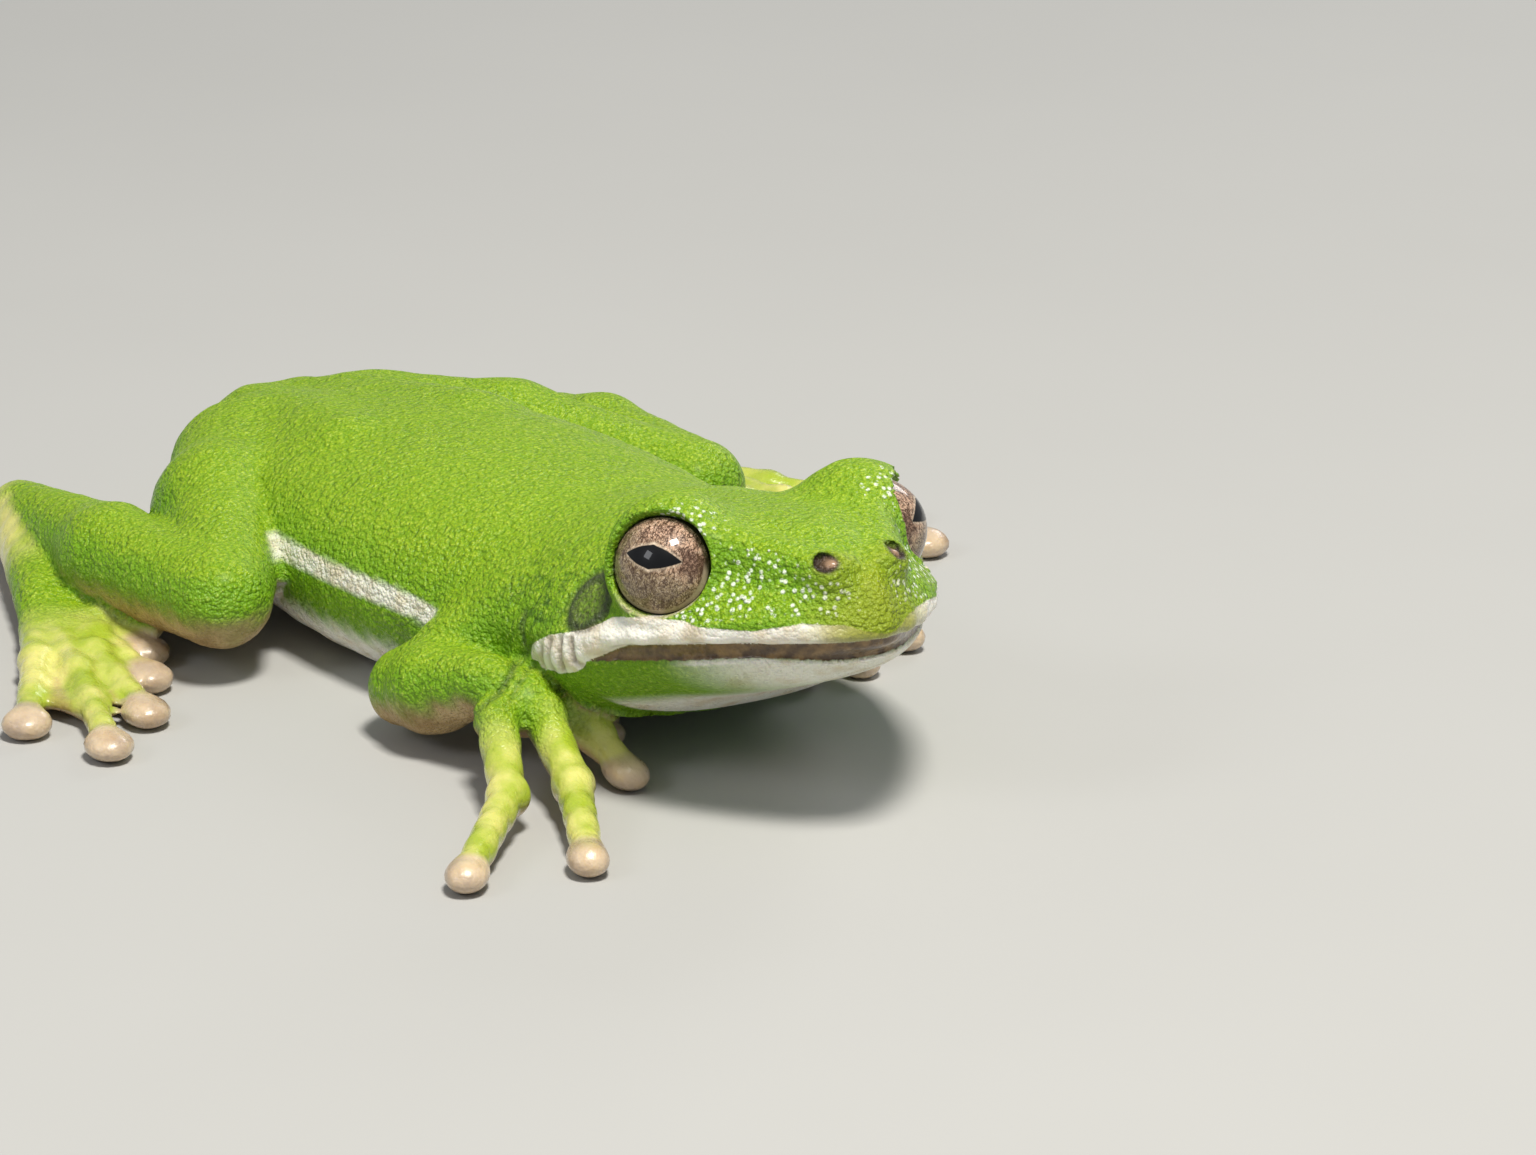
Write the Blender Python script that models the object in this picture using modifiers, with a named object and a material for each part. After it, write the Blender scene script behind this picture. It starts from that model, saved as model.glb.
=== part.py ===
"""Green tree frog, life size. It crouches on a floor, turns its head to its right and spreads its right hand.

The frog is posed in millimetres in a frame of its own: +X is the way the snout points, +Y the frog's left and
+Z up, with the origin on the floor under the middle of the two eyes. The last step turns the body's long axis
onto +X, puts the origin under the middle of the frog's box and scales it to metres.

One soft surface wraps the whole frog. Each named node is the share of it that lies nearest to that node's own
forms, and a thin gap parts it from the nodes beside it.
"""

import math

import bmesh
import bpy
import numpy as np
from mathutils import Matrix, Vector

MM = 0.001
BODY_BEND = math.radians(4.0)
GAP = 0.32
CUT_ROUNDING = 0.18
FLOOR_FLAT = 0.02
JOINT_PULL = 0.6
STEP = 0.03
FAR = 50.0

# The head, in its own frame: x forward from the line through the eyes, y to the left, z up.
EYE_HEIGHT = 9.4
HEAD_PITCH = math.radians(14.0)
HEAD_ROLL = math.radians(1.5)
SNOUT_REACH = 8.1
HEAD_HALF_WIDTH = 7.75
WIDEST_AT = -5.6
NECK_AT = -11.0
NECK_CUT = -7.5
CROWN = 1.9
CHEEK_LEAN = 0.30
THROAT_AT = -6.5
CHIN_RISE = 1.6
MOUTH_CORNER = -2.7
LIP_AT = -2.76
CORNER_DROP = 0.65
LIP_DROP = 0.3
LIP_OVERHANG = 0.42
EYE_AT = np.array([0.0, 4.4, -0.08])
EYE_RADIUS = 2.30
EYE_OPENING = 1.90
EYE_GAP = 0.24
EYE_DOME_DEPTH = 1.3
EYE_FACING = math.radians(55.0)
EYE_LIFT = math.radians(12.0)
LID_THICKNESS = 0.38
EARDRUM_AT = np.array([-2.75, 6.5, -1.25])
NOSTRIL_AT = (6.7, 1.58, -0.03)

# The trunk, by stations from the vent to the neck: half width, back and belly.
TRUNK_X = (-41.0, -38.0, -33.5, -28.0, -21.0, -14.0, -8.0, -4.0)
TRUNK_HALF_WIDTH = (3.6, 4.6, 6.1, 7.7, 8.6, 8.2, 6.9, 5.8)
TRUNK_BACK = (4.7, 5.7, 6.9, 7.9, 8.5, 8.7, 8.7, 8.4)
TRUNK_BELLY = (1.6, 1.0, 0.1, -0.5, -0.7, -0.3, 0.9, 2.8)
TRUNK_WAIST = 3.7
RUMP_FROM = -28.0

# The limbs. The hind legs are told from a pelvis that is turned with the rump.
SHOULDER_RIGHT = (-8.8, -5.8, 4.8)
SHOULDER_LEFT = (-8.8, 5.8, 4.8)
HIP = (0.5, 3.7, 4.1)
PELVIS_AT = np.array([-34.0, -34.0 * math.tan(BODY_BEND), 0.0])
TOE_PAD = np.array([1.10, 1.00, 0.60])
FINGER_PAD = np.array([1.04, 0.92, 0.62])


def smooth_min(a, b, blend):
    """The nearer of two distances, rounded over where they come within blend of each other."""
    mix = np.clip(0.5 + 0.5 * (b - a) / blend, 0.0, 1.0)
    return b + (a - b) * mix - blend * mix * (1.0 - mix)


def smooth_max(a, b, blend):
    return -smooth_min(-a, -b, blend)


def ease(value, low, high):
    """0 below low, 1 above high and smooth between."""
    t = np.clip((value - low) / (high - low), 0.0, 1.0)
    return t * t * (3.0 - 2.0 * t)


def swell(points, centre, reach, height):
    """A soft rise of the skin, or a dent where height is negative."""
    return height * np.exp(-(((points - np.array(centre)) / np.array(reach)) ** 2).sum(axis=1))


def measured(distance, points):
    """A rough distance made true near its surface, so that it can be blended and offset in millimetres."""
    value = distance(points)
    slope = np.stack([(distance(points + axis) - value) / STEP for axis in np.eye(3) * STEP], axis=1)
    return value / np.maximum(np.linalg.norm(slope, axis=1), 0.3)


class Rod:
    """A round length of limb that tapers from one joint to the next."""

    def __init__(self, start, end, start_radius, end_radius):
        self.start, self.end = np.array(start, float), np.array(end, float)
        self.radii = (start_radius, end_radius)

    def distance(self, points):
        along = self.end - self.start
        t = np.clip((points - self.start) @ along / (along @ along), 0.0, 1.0)
        thick = self.radii[0] + t * (self.radii[1] - self.radii[0])
        return np.linalg.norm(points - self.start - t[:, None] * along, axis=1) - thick

    def box(self):
        reach = np.array(self.radii)[:, None]
        ends = np.stack([self.start, self.end])
        return (ends - reach).min(axis=0), (ends + reach).max(axis=0)


class Egg:
    """An ellipsoid, such as a toe pad or a muscle, with its first axis along a heading."""

    def __init__(self, centre, radii, heading=(1.0, 0.0, 0.0)):
        self.centre, self.radii = np.array(centre, float), np.array(radii, float)
        ahead = np.array(heading, float) / np.linalg.norm(heading)
        left = np.cross([0.0, 0.0, 1.0], ahead)
        left /= np.linalg.norm(left)
        self.axes = np.stack([ahead, left, np.cross(ahead, left)], axis=1)

    def distance(self, points):
        local = (points - self.centre) @ self.axes
        near = np.linalg.norm(local / self.radii, axis=1)
        steep = np.linalg.norm(local / self.radii**2, axis=1)
        return near * (near - 1.0) / np.maximum(steep, 1e-6)

    def box(self):
        return self.centre - self.radii.max(), self.centre + self.radii.max()


class Web:
    """A flat triangle of skin between two toes."""

    def __init__(self, root, first, second, half_thickness):
        self.corners = np.array([root, first, second], float)
        self.half = half_thickness

    def distance(self, points):
        nearest = np.full(len(points), np.inf)
        inside = np.ones(len(points), bool)
        normal = np.cross(self.corners[1] - self.corners[0], self.corners[2] - self.corners[0])
        normal /= np.linalg.norm(normal)
        for i in range(3):
            start, end = self.corners[i], self.corners[(i + 1) % 3]
            side = end - start
            t = np.clip((points - start) @ side / (side @ side), 0.0, 1.0)
            nearest = np.minimum(nearest, np.linalg.norm(points - start - t[:, None] * side, axis=1))
            inside &= (points - start) @ np.cross(normal, side) > 0.0
        flat = np.abs((points - self.corners[0]) @ normal)
        return np.where(inside, flat, nearest) - self.half

    def box(self):
        return self.corners.min(axis=0) - self.half, self.corners.max(axis=0) + self.half


def head_axes():
    """The head's forward, left and up directions as columns: pitched up and leaning a little to its left."""
    return np.array(Matrix.Rotation(-HEAD_PITCH, 3, "Y") @ Matrix.Rotation(-HEAD_ROLL, 3, "X"))


HEAD_AXES = head_axes()
EYES_MIDDLE = np.array([0.0, 0.0, EYE_HEIGHT])


def to_head(points):
    """Points in the head's frame, folded onto its left half because the head is the same on both sides."""
    local = (points - EYES_MIDDLE) @ HEAD_AXES
    return np.stack([local[:, 0], np.abs(local[:, 1]), local[:, 2]], axis=1)


def lip_height(x):
    """The line of the mouth, level along the cheek and a little lower at its corner and at the snout."""
    return LIP_AT - CORNER_DROP * ease(-x, 0.4, 2.8) - LIP_DROP * ease(x, 3.0, 8.0)


def rough_head(local):
    """The head before its eyes and mouth: rounded sections that narrow to the snout and into the neck."""
    x, y, z = local.T
    t = np.clip((x - WIDEST_AT) / (SNOUT_REACH - WIDEST_AT), 0.0, 0.9999)
    behind = np.clip((WIDEST_AT - x) / 3.5, 0.0, 1.5)
    half = HEAD_HALF_WIDTH * (1.0 - t**2.0) ** 0.68 * (1.0 - 0.10 * behind**2)
    waist = LIP_AT + 0.35 + 0.4 * ease(x, 0.0, 4.0) - 0.9 * ease(x, 5.0, 8.3)
    crown = CROWN - 1.15 * (np.clip(x + 1.0, 0.0, 9.0) / 7.0) ** 2 - 0.6 * behind**2
    throat = THROAT_AT + CHIN_RISE * np.clip((x + 6.0) / 13.0, 0.0, 1.0) ** 1.4
    height = np.where(z > waist, crown - waist, waist - throat) * np.sqrt(1.0 - t**8)
    rise = (z - waist) / height
    lean = CHEEK_LEAN * (1.0 + 0.9 * ease(x, 1.0, 6.0))
    width = half * (1.0 - lean * np.clip(rise, 0.0, 1.0))
    power = 2.5
    ratio = np.maximum((y / width) ** power + np.abs(rise) ** power, 1e-9) ** (1.0 / power)
    reach = np.hypot(y, z - waist)
    rough = smooth_max(reach * (1.0 - 1.0 / ratio), x - SNOUT_REACH, 0.5)
    return np.maximum(rough, NECK_AT - x)


def eye_axis():
    """The way the left eye looks, in the head's frame."""
    flat = math.cos(EYE_LIFT)
    return np.array([math.cos(EYE_FACING) * flat, math.sin(EYE_FACING) * flat, math.sin(EYE_LIFT)])


EYE_DOME = Egg(
    EYE_AT + (EYE_RADIUS - EYE_DOME_DEPTH) * eye_axis(),
    (EYE_DOME_DEPTH, EYE_OPENING - EYE_GAP, EYE_OPENING - EYE_GAP),
    eye_axis(),
)
ORBIT = Egg((-0.15, 4.05, 0.5), (2.75, 2.4, 2.3))
SNOUT_RIDGE = Rod((2.4, 3.2, 0.5), (6.4, 1.3, -0.4), 0.85, 0.65)


def eyelids(local, skin):
    """Skin drawn over the eyeball, with a round opening whose rim stands proud of the eye."""
    offset = local - EYE_AT
    out = offset @ eye_axis()
    ball = np.linalg.norm(offset, axis=1)
    beside = np.sqrt(np.maximum(ball**2 - out**2, 0.0))
    skin = smooth_min(skin, ball - EYE_RADIUS - LID_THICKNESS, 0.6)
    rim = math.sqrt(EYE_RADIUS**2 - EYE_OPENING**2)
    opening = smooth_max(beside - EYE_OPENING - 0.3 * (out - rim), rim - 0.3 - out, 0.2)
    socket = smooth_min(opening, EYE_DOME.distance(local) - EYE_GAP, 0.1)
    return smooth_max(skin, -socket, 0.15)


def upper_head(local, full):
    """Skull, snout, orbits, lids, lips, nostrils and eardrums: all of the head above the mouth and behind it."""
    x, _, z = local.T
    skin = smooth_min(full, ORBIT.distance(local), 1.1)
    skin = smooth_min(skin, SNOUT_RIDGE.distance(local), 0.9)
    skin = skin + swell(local, (4.0, 4.3, -1.0), (2.0, 1.1, 1.0), 0.10)
    skin = eyelids(local, skin)
    skin = skin + swell(local, (0.5, 0.0, 1.9), (3.0, 1.6, 1.0), 0.15)
    skin = skin - swell(local, NOSTRIL_AT, (0.75, 0.75, 0.6), 0.10)
    skin = skin + swell(local, NOSTRIL_AT, (0.5, 0.4, 0.27), 0.45)
    drum = np.linalg.norm((local - EARDRUM_AT) * np.array([0.95, 0.6, 1.05]), axis=1)
    skin = skin + 0.14 * np.exp(-(((drum - 1.15) / 0.18) ** 2)) + 0.10 * (1.0 - ease(drum, 0.6, 1.0))
    skin = skin - swell(local, (-4.3, 7.4, -3.3), (1.3, 1.6, 0.75), 0.22)
    underside = lip_height(x) - z
    behind_mouth = x - MOUTH_CORNER
    return smooth_max(skin, smooth_min(underside, behind_mouth, 0.8), 0.45)


def lower_jaw(local, full):
    """The jaw and throat, set in under the lip, with a rim of its own below the line of the mouth."""
    x, _, z = local.T
    below = lip_height(x) - z
    skin = full + LIP_OVERHANG * ease(x, MOUTH_CORNER - 0.4, MOUTH_CORNER + 2.0)
    skin = smooth_max(skin, -below - 0.15, 0.4)
    return smooth_max(skin, MOUTH_CORNER - 0.5 - x, 0.3)


def trunk_form(points):
    """The trunk's skin from its stations, closed behind the vent and carried into the head in front."""
    x = points[:, 0]
    half, back, belly = (
        station_curve(x, heights) for heights in (TRUNK_HALF_WIDTH, TRUNK_BACK, TRUNK_BELLY)
    )
    past = np.clip((RUMP_FROM - x) / (RUMP_FROM - TRUNK_X[0]), 0.0, 1.0)
    closing = np.sqrt(np.maximum(1.0 - past**4, 1e-4))
    above = points[:, 2] > TRUNK_WAIST
    height = np.where(above, back - TRUNK_WAIST, TRUNK_WAIST - belly) * closing
    power = np.where(above, 2.15, 2.4)
    side = np.abs(points[:, 1] - x * math.tan(BODY_BEND))
    rise = np.abs(points[:, 2] - TRUNK_WAIST)
    ratio = ((side / (half * closing)) ** power + (rise / height) ** power) ** (1.0 / power)
    reach = np.hypot(side, rise)
    rough = reach * (1.0 - 1.0 / np.maximum(ratio, 1e-6))
    return np.maximum(np.maximum(rough, x - TRUNK_X[-1]), TRUNK_X[0] - x)


def station_curve(x, heights):
    """A smooth curve through the trunk's stations."""
    places, values = np.array(TRUNK_X), np.array(heights, float)
    slopes = np.gradient(values, places)
    i = np.clip(np.searchsorted(places, x) - 1, 0, len(places) - 2)
    width = places[i + 1] - places[i]
    t = np.clip((x - places[i]) / width, 0.0, 1.0)
    start = (1.0 + 2.0 * t) * (1.0 - t) ** 2 * values[i] + t * (1.0 - t) ** 2 * width * slopes[i]
    return start + t * t * (3.0 - 2.0 * t) * values[i + 1] + t * t * (t - 1.0) * width * slopes[i + 1]


def nearest_of(forms, points, blend):
    """One limb length made of several forms, blended where they meet."""
    distance = forms[0].distance(points)
    for form in forms[1:]:
        distance = smooth_min(distance, form.distance(points), blend)
    return distance


def muscle(start, middle, end, radii, pull_start=0.0, pull_end=JOINT_PULL):
    """Two tapering rods through a limb's joints, with each end pulled in from the joint it shares."""
    start, middle, end = (np.array(point, float) for point in (start, middle, end))
    start = start + pull_start * (middle - start) / np.linalg.norm(middle - start)
    end = end + pull_end * (middle - end) / np.linalg.norm(middle - end)
    return [Rod(start, middle, radii[0], radii[1]), Rod(middle, end, radii[1], radii[2])]


def digit(root, knuckle, tip, root_radius, tip_radius, pad):
    """A finger or toe: two lengths with a swollen knuckle, and a flattened pad at the tip."""
    root, knuckle, tip = (np.array(point, float) for point in (root, knuckle, tip))
    heading = (tip - knuckle) * np.array([1.0, 1.0, 0.25])
    middle = 0.5 * (root_radius + tip_radius)
    return [
        Rod(root, knuckle, root_radius, middle),
        Rod(knuckle, tip, middle, tip_radius),
        Egg(knuckle, (middle * 1.35, middle * 1.18, middle * 1.18), knuckle - root),
        Egg(tip, pad, heading),
    ]


def arm(side, shoulder, elbow, wrist, knuckles, digits):
    """Upper arm, forearm and hand. Knuckles are where the digits leave the hand."""
    crook = np.array(elbow) * 0.45 + np.array(shoulder) * 0.55
    belly = np.array(elbow) * 0.62 + np.array(wrist) * 0.38
    palm = np.mean(knuckles, axis=0) * 0.6 + np.array(wrist) * 0.4
    heel = np.array(wrist) + JOINT_PULL * (palm - wrist) / np.linalg.norm(palm - wrist)
    hand = [Rod(heel, palm, 1.15, 1.25)]
    hand += [Rod(palm, knuckle, 1.15, 0.88) for knuckle in knuckles]
    for knuckle, (bend, tip) in zip(knuckles, digits):
        hand += digit(knuckle, bend, tip, 0.86, 0.66, FINGER_PAD)
    return {
        f"upper_arm_{side}": muscle(shoulder, crook, elbow, (2.0, 1.8, 1.45)),
        f"forearm_{side}": muscle(elbow, belly, wrist, (1.45, 1.75, 1.25), JOINT_PULL),
        f"hand_{side}": hand,
    }


def from_pelvis(side, forward, outward, height):
    """A point told from the pelvis, for the left leg with side 1 and the right leg with side -1."""
    ahead = np.array([math.cos(BODY_BEND), math.sin(BODY_BEND), 0.0])
    left = np.array([-math.sin(BODY_BEND), math.cos(BODY_BEND), 0.0])
    return PELVIS_AT + forward * ahead + outward * side * left + np.array([0.0, 0.0, height])


TOE_LENGTHS = (6.0, 8.5, 12.0, 15.0, 12.0)
TOE_FAN = (-14.0, 0.0, 10.0, 20.0, 33.0)


def leg(name, side):
    """Thigh, shank and foot, folded beside the trunk with the toes fanned on the floor."""
    hip = from_pelvis(side, *HIP)
    rump = from_pelvis(side, 5.0, 7.2, 4.0)
    knee = from_pelvis(side, 13.0, 12.0, 3.4)
    calf = from_pelvis(side, 4.5, 12.3, 3.0)
    ankle = from_pelvis(side, -6.0, 10.9, 1.8)
    sole = from_pelvis(side, 3.4, 15.1, 1.25)
    heel = ankle + JOINT_PULL * (sole - ankle) / np.linalg.norm(sole - ankle)
    foot = [Rod(heel, sole, 1.25, 1.15)]
    webs = []
    for length, fan in zip(TOE_LENGTHS, TOE_FAN):
        turn = math.radians(fan)
        reach = np.array([length * math.cos(turn), length * math.sin(turn)])
        root = from_pelvis(side, 3.4 + 0.06 * reach[0], 15.1 + 0.10 * reach[1], 1.1)
        bend = from_pelvis(side, 3.4 + 0.52 * reach[0], 15.1 + 0.50 * reach[1], 0.95)
        tip = from_pelvis(side, 3.4 + reach[0], 15.1 + reach[1], 0.55)
        foot += digit(root, bend, tip, 0.78, 0.52, TOE_PAD)
        webs.append((bend * 0.45 + tip * 0.55) * np.array([1.0, 1.0, 0.9]))
    instep = sole * np.array([1.0, 1.0, 0.6])
    for first, second in zip(webs, webs[1:]):
        foot.append(Web(instep, first, second, 0.27))
    return {
        f"thigh_{name}": muscle(hip, rump, knee, (2.7, 2.9, 1.9)),
        f"shank_{name}": muscle(knee, calf, ankle, (1.9, 2.15, 1.35), JOINT_PULL),
        f"foot_{name}": foot,
    }


LIMBS = {
    **arm(
        "right",
        shoulder=SHOULDER_RIGHT,
        elbow=(-11.6, -10.3, 1.8),
        wrist=(-5.6, -9.2, 3.8),
        knuckles=[(-5.0, -6.2, 2.1), (-4.3, -6.9, 2.6), (-3.6, -8.2, 2.9), (-4.1, -10.0, 3.0)],
        digits=[
            ((-5.5, -5.3, 1.3), (-5.8, -4.2, 0.58)),
            ((-3.3, -6.1, 1.8), (-1.6, -5.6, 0.64)),
            ((0.1, -9.0, 1.4), (5.1, -11.3, 0.60)),
            ((-0.3, -11.7, 1.4), (4.1, -16.0, 0.60)),
        ],
    ),
    **arm(
        "left",
        shoulder=SHOULDER_LEFT,
        elbow=(-18.0, 10.3, 1.9),
        wrist=(-12.6, 8.6, 2.0),
        knuckles=[(-11.5, 6.7, 1.6), (-11.0, 7.5, 1.8), (-11.0, 8.6, 1.8), (-11.6, 9.6, 1.6)],
        digits=[
            ((-10.1, 5.5, 1.1), (-8.8, 4.3, 0.60)),
            ((-9.3, 6.9, 1.2), (-7.6, 6.2, 0.60)),
            ((-9.2, 8.9, 1.2), (-7.2, 8.8, 0.60)),
            ((-10.4, 10.8, 1.1), (-8.8, 11.9, 0.60)),
        ],
    ),
    **leg("right", -1),
    **leg("left", 1),
}


def box_of(forms):
    """The lowest and highest corners of a set of forms."""
    boxes = [form.box() for form in forms]
    return np.min([low for low, _ in boxes], axis=0), np.max([high for _, high in boxes], axis=0)


BOXES = {name: box_of(forms) for name, forms in LIMBS.items()}
BOXES["head"] = BOXES["lower_jaw"] = (np.array([-10.0, -8.5, 0.0]), np.array([9.5, 8.5, 13.0]))
BOXES["trunk"] = (np.array([TRUNK_X[0], -12.5, 0.0]), np.array([-6.0, 8.5, 10.5]))
# Each limb's nodes, its root on the trunk and how far out it flows into the trunk.
LIMB_ROOTS = (
    (("upper_arm_right", "forearm_right", "hand_right"), np.array(SHOULDER_RIGHT), 3.5),
    (("upper_arm_left", "forearm_left", "hand_left"), np.array(SHOULDER_LEFT), 3.5),
    (("thigh_right", "shank_right", "foot_right"), from_pelvis(-1, *HIP), 5.5),
    (("thigh_left", "shank_left", "foot_left"), from_pelvis(1, *HIP), 5.5),
)


def own_distances(points):
    """The distance to each node's own forms, before the skin is drawn over all of them."""
    local = to_head(points)
    full = measured(rough_head, local)
    distances = {"head": upper_head(local, full), "lower_jaw": lower_jaw(local, full)}
    distances["trunk"] = measured(trunk_form, points)
    for name, forms in LIMBS.items():
        low, high = BOXES[name]
        near = np.all((points > low - 3.0) & (points < high + 3.0), axis=1)
        distances[name] = np.full(len(points), FAR)
        if near.any():
            blend = 0.35 if name.startswith(("hand", "foot")) else 0.6
            distances[name][near] = nearest_of(forms, points[near], blend)
    return distances


def whole_skin(points, own):
    """The skin over all the nodes. Limbs flow into the trunk at their roots and only touch it elsewhere."""
    skin = smooth_min(own["head"], own["lower_jaw"], 0.12)
    skin = smooth_min(skin, own["trunk"], 2.0)
    for names, root, reach in LIMB_ROOTS:
        limb = own[names[0]]
        for name in names[1:]:
            limb = smooth_min(limb, own[name], 0.5)
        away = np.linalg.norm(points - root, axis=1)
        blend = 0.12 + 1.8 * np.exp(-((away / reach) ** 2))
        skin = smooth_min(skin, limb, blend)
    return smooth_max(skin, -points[:, 2], 0.05)


def skin_and_lead(name, points):
    """The whole skin's distance, and how much farther a node's own forms are than its nearest neighbour's."""
    own = own_distances(points)
    skin = whole_skin(points, own)
    ahead = ((points - EYES_MIDDLE) @ HEAD_AXES)[:, 0] - NECK_CUT
    own["trunk"] = np.maximum(own["trunk"], ahead)
    own["head"] = np.maximum(own["head"], -ahead)
    others = np.min([value for key, value in own.items() if key != name], axis=0)
    return np.stack([skin, own[name] - others])


def share_of(name, points):
    """Distance and slope of a node's share of the skin, which stays half a gap back from its neighbours."""
    here = skin_and_lead(name, points)
    steps = [(skin_and_lead(name, points + axis) - here) / STEP for axis in np.eye(3) * STEP]
    skin_slope, lead_slope = np.stack(steps, axis=-1)
    steep = np.maximum(np.linalg.norm(lead_slope, axis=1), 0.25)
    skin, share = here[0], here[1] / steep + 0.5 * GAP
    mix = np.clip(0.5 + 0.5 * (skin - share) / CUT_ROUNDING, 0.0, 1.0)[:, None]
    slope = mix * skin_slope + (1.0 - mix) * lead_slope / steep[:, None]
    return smooth_max(skin, share, CUT_ROUNDING), slope


def filling(cell):
    """Geometry nodes that turn a cloud of points one cell apart into one closed surface round them."""
    group = bpy.data.node_groups.new("filling", "GeometryNodeTree")
    group.interface.new_socket("Geometry", in_out="INPUT", socket_type="NodeSocketGeometry")
    group.interface.new_socket("Geometry", in_out="OUTPUT", socket_type="NodeSocketGeometry")
    steps = [
        group.nodes.new(kind)
        for kind in (
            "NodeGroupInput",
            "GeometryNodeMeshToPoints",
            "GeometryNodePointsToVolume",
            "GeometryNodeVolumeToMesh",
            "NodeGroupOutput",
        )
    ]
    steps[2].resolution_mode = "VOXEL_SIZE"
    steps[2].inputs["Voxel Size"].default_value = 0.8 * cell
    steps[2].inputs["Radius"].default_value = 0.87 * cell
    for before, after in zip(steps, steps[1:]):
        group.links.new(before.outputs[0], after.inputs[0])
    return group


def blocked_out(name, cell):
    """A rough lump that fills a node's share of the skin, grown round a grid of points inside it."""
    low, high = BOXES[name]
    rows = [np.arange(start - cell, end + cell, cell) for start, end in zip(low, high)]
    points = np.stack(np.meshgrid(*rows, indexing="ij"), axis=-1).reshape(-1, 3)
    value, _ = share_of(name, points)
    mesh = bpy.data.meshes.new(name)
    mesh.from_pydata(points[value < 0.0].tolist(), [], [])
    node = bpy.data.objects.new(name, mesh)
    FROG.objects.link(node)
    fill = node.modifiers.new("Fill", "NODES")
    fill.node_group = filling(cell)
    applied(node)
    return node


def applied(node):
    """The node with its modifiers made part of its mesh, which keeps only its largest closed surface."""
    bpy.context.view_layer.update()
    mesh = bpy.data.meshes.new_from_object(node.evaluated_get(bpy.context.evaluated_depsgraph_get()))
    node.modifiers.clear()
    node.data = mesh
    keep_largest(mesh)


def remeshed(node, voxel):
    """The node's mesh replaced by an even one."""
    even = node.modifiers.new("Even", "REMESH")
    even.mode = "VOXEL"
    even.voxel_size = voxel
    applied(node)


def keep_largest(mesh):
    """Drops every closed surface but the largest, such as the wall of a sealed hollow."""
    soft = bmesh.new()
    soft.from_mesh(mesh)
    left, groups = set(soft.verts), []
    while left:
        group, edge = set(), [left.pop()]
        while edge:
            vert = edge.pop()
            group.add(vert)
            for link in vert.link_edges:
                other = link.other_vert(vert)
                if other in left:
                    left.discard(other)
                    edge.append(other)
        groups.append(group)
    groups.sort(key=len)
    for group in groups[:-1]:
        bmesh.ops.delete(soft, geom=list(group), context="VERTS")
    soft.to_mesh(mesh)
    soft.free()


def settle(mesh, name, rounds):
    """Moves every point of a mesh onto the node's share of the skin, with a little smoothing between rounds."""
    soft = bmesh.new()
    soft.from_mesh(mesh)
    for turn in range(rounds):
        if turn < rounds - 1:
            bmesh.ops.smooth_vert(
                soft, verts=soft.verts, factor=0.5, use_axis_x=True, use_axis_y=True, use_axis_z=True
            )
        points = np.array([vert.co for vert in soft.verts])
        for _ in range(2):
            value, slope = share_of(name, points)
            steep = np.maximum(np.linalg.norm(slope, axis=1), 0.3)
            move = np.clip(value / steep, -0.5, 0.5)
            points = points - move[:, None] * slope / steep[:, None]
        points[:, 2] = np.where(points[:, 2] < FLOOR_FLAT, 0.0, points[:, 2])
        for vert, place in zip(soft.verts, points):
            vert.co = place
    soft.to_mesh(mesh)
    soft.free()


def thinned(node, triangles):
    """The node's mesh with about that many triangles, more of them where it bends."""
    count = sum(len(face.vertices) - 2 for face in node.data.polygons)
    if count <= triangles:
        return
    thin = node.modifiers.new("Thin", "DECIMATE")
    thin.ratio = triangles / count
    thin.use_collapse_triangulate = True
    applied(node)


def finish_of(name, colour, roughness):
    material = bpy.data.materials.new(name)
    material.use_nodes = True
    shader = material.node_tree.nodes["Principled BSDF"]
    shader.inputs["Base Color"].default_value = (*colour, 1.0)
    shader.inputs["Roughness"].default_value = roughness
    return material


# Each node's cell size, its triangles and its finish.
NODES = {
    "head": (0.32, 4300, "leaf_green_skin"),
    "lower_jaw": (0.32, 900, "cream_skin"),
    "trunk": (0.60, 1400, "leaf_green_skin"),
}
for limb_side in ("right", "left"):
    NODES[f"upper_arm_{limb_side}"] = (0.40, 260, "leaf_green_skin")
    NODES[f"forearm_{limb_side}"] = (0.40, 300, "leaf_green_skin")
    NODES[f"hand_{limb_side}"] = (0.32, 1100, "toe_skin")
    NODES[f"thigh_{limb_side}"] = (0.45, 400, "leaf_green_skin")
    NODES[f"shank_{limb_side}"] = (0.45, 380, "leaf_green_skin")
    NODES[f"foot_{limb_side}"] = (0.32, 1450, "toe_skin")


def make_flesh(name, finishes):
    cell, triangles, finish = NODES[name]
    node = blocked_out(name, cell)
    settle(node.data, name, 4)
    remeshed(node, cell * 0.8)
    settle(node.data, name, 4)
    thinned(node, triangles)
    node.data.materials.clear()
    node.data.materials.append(finishes[finish])
    return node


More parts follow.
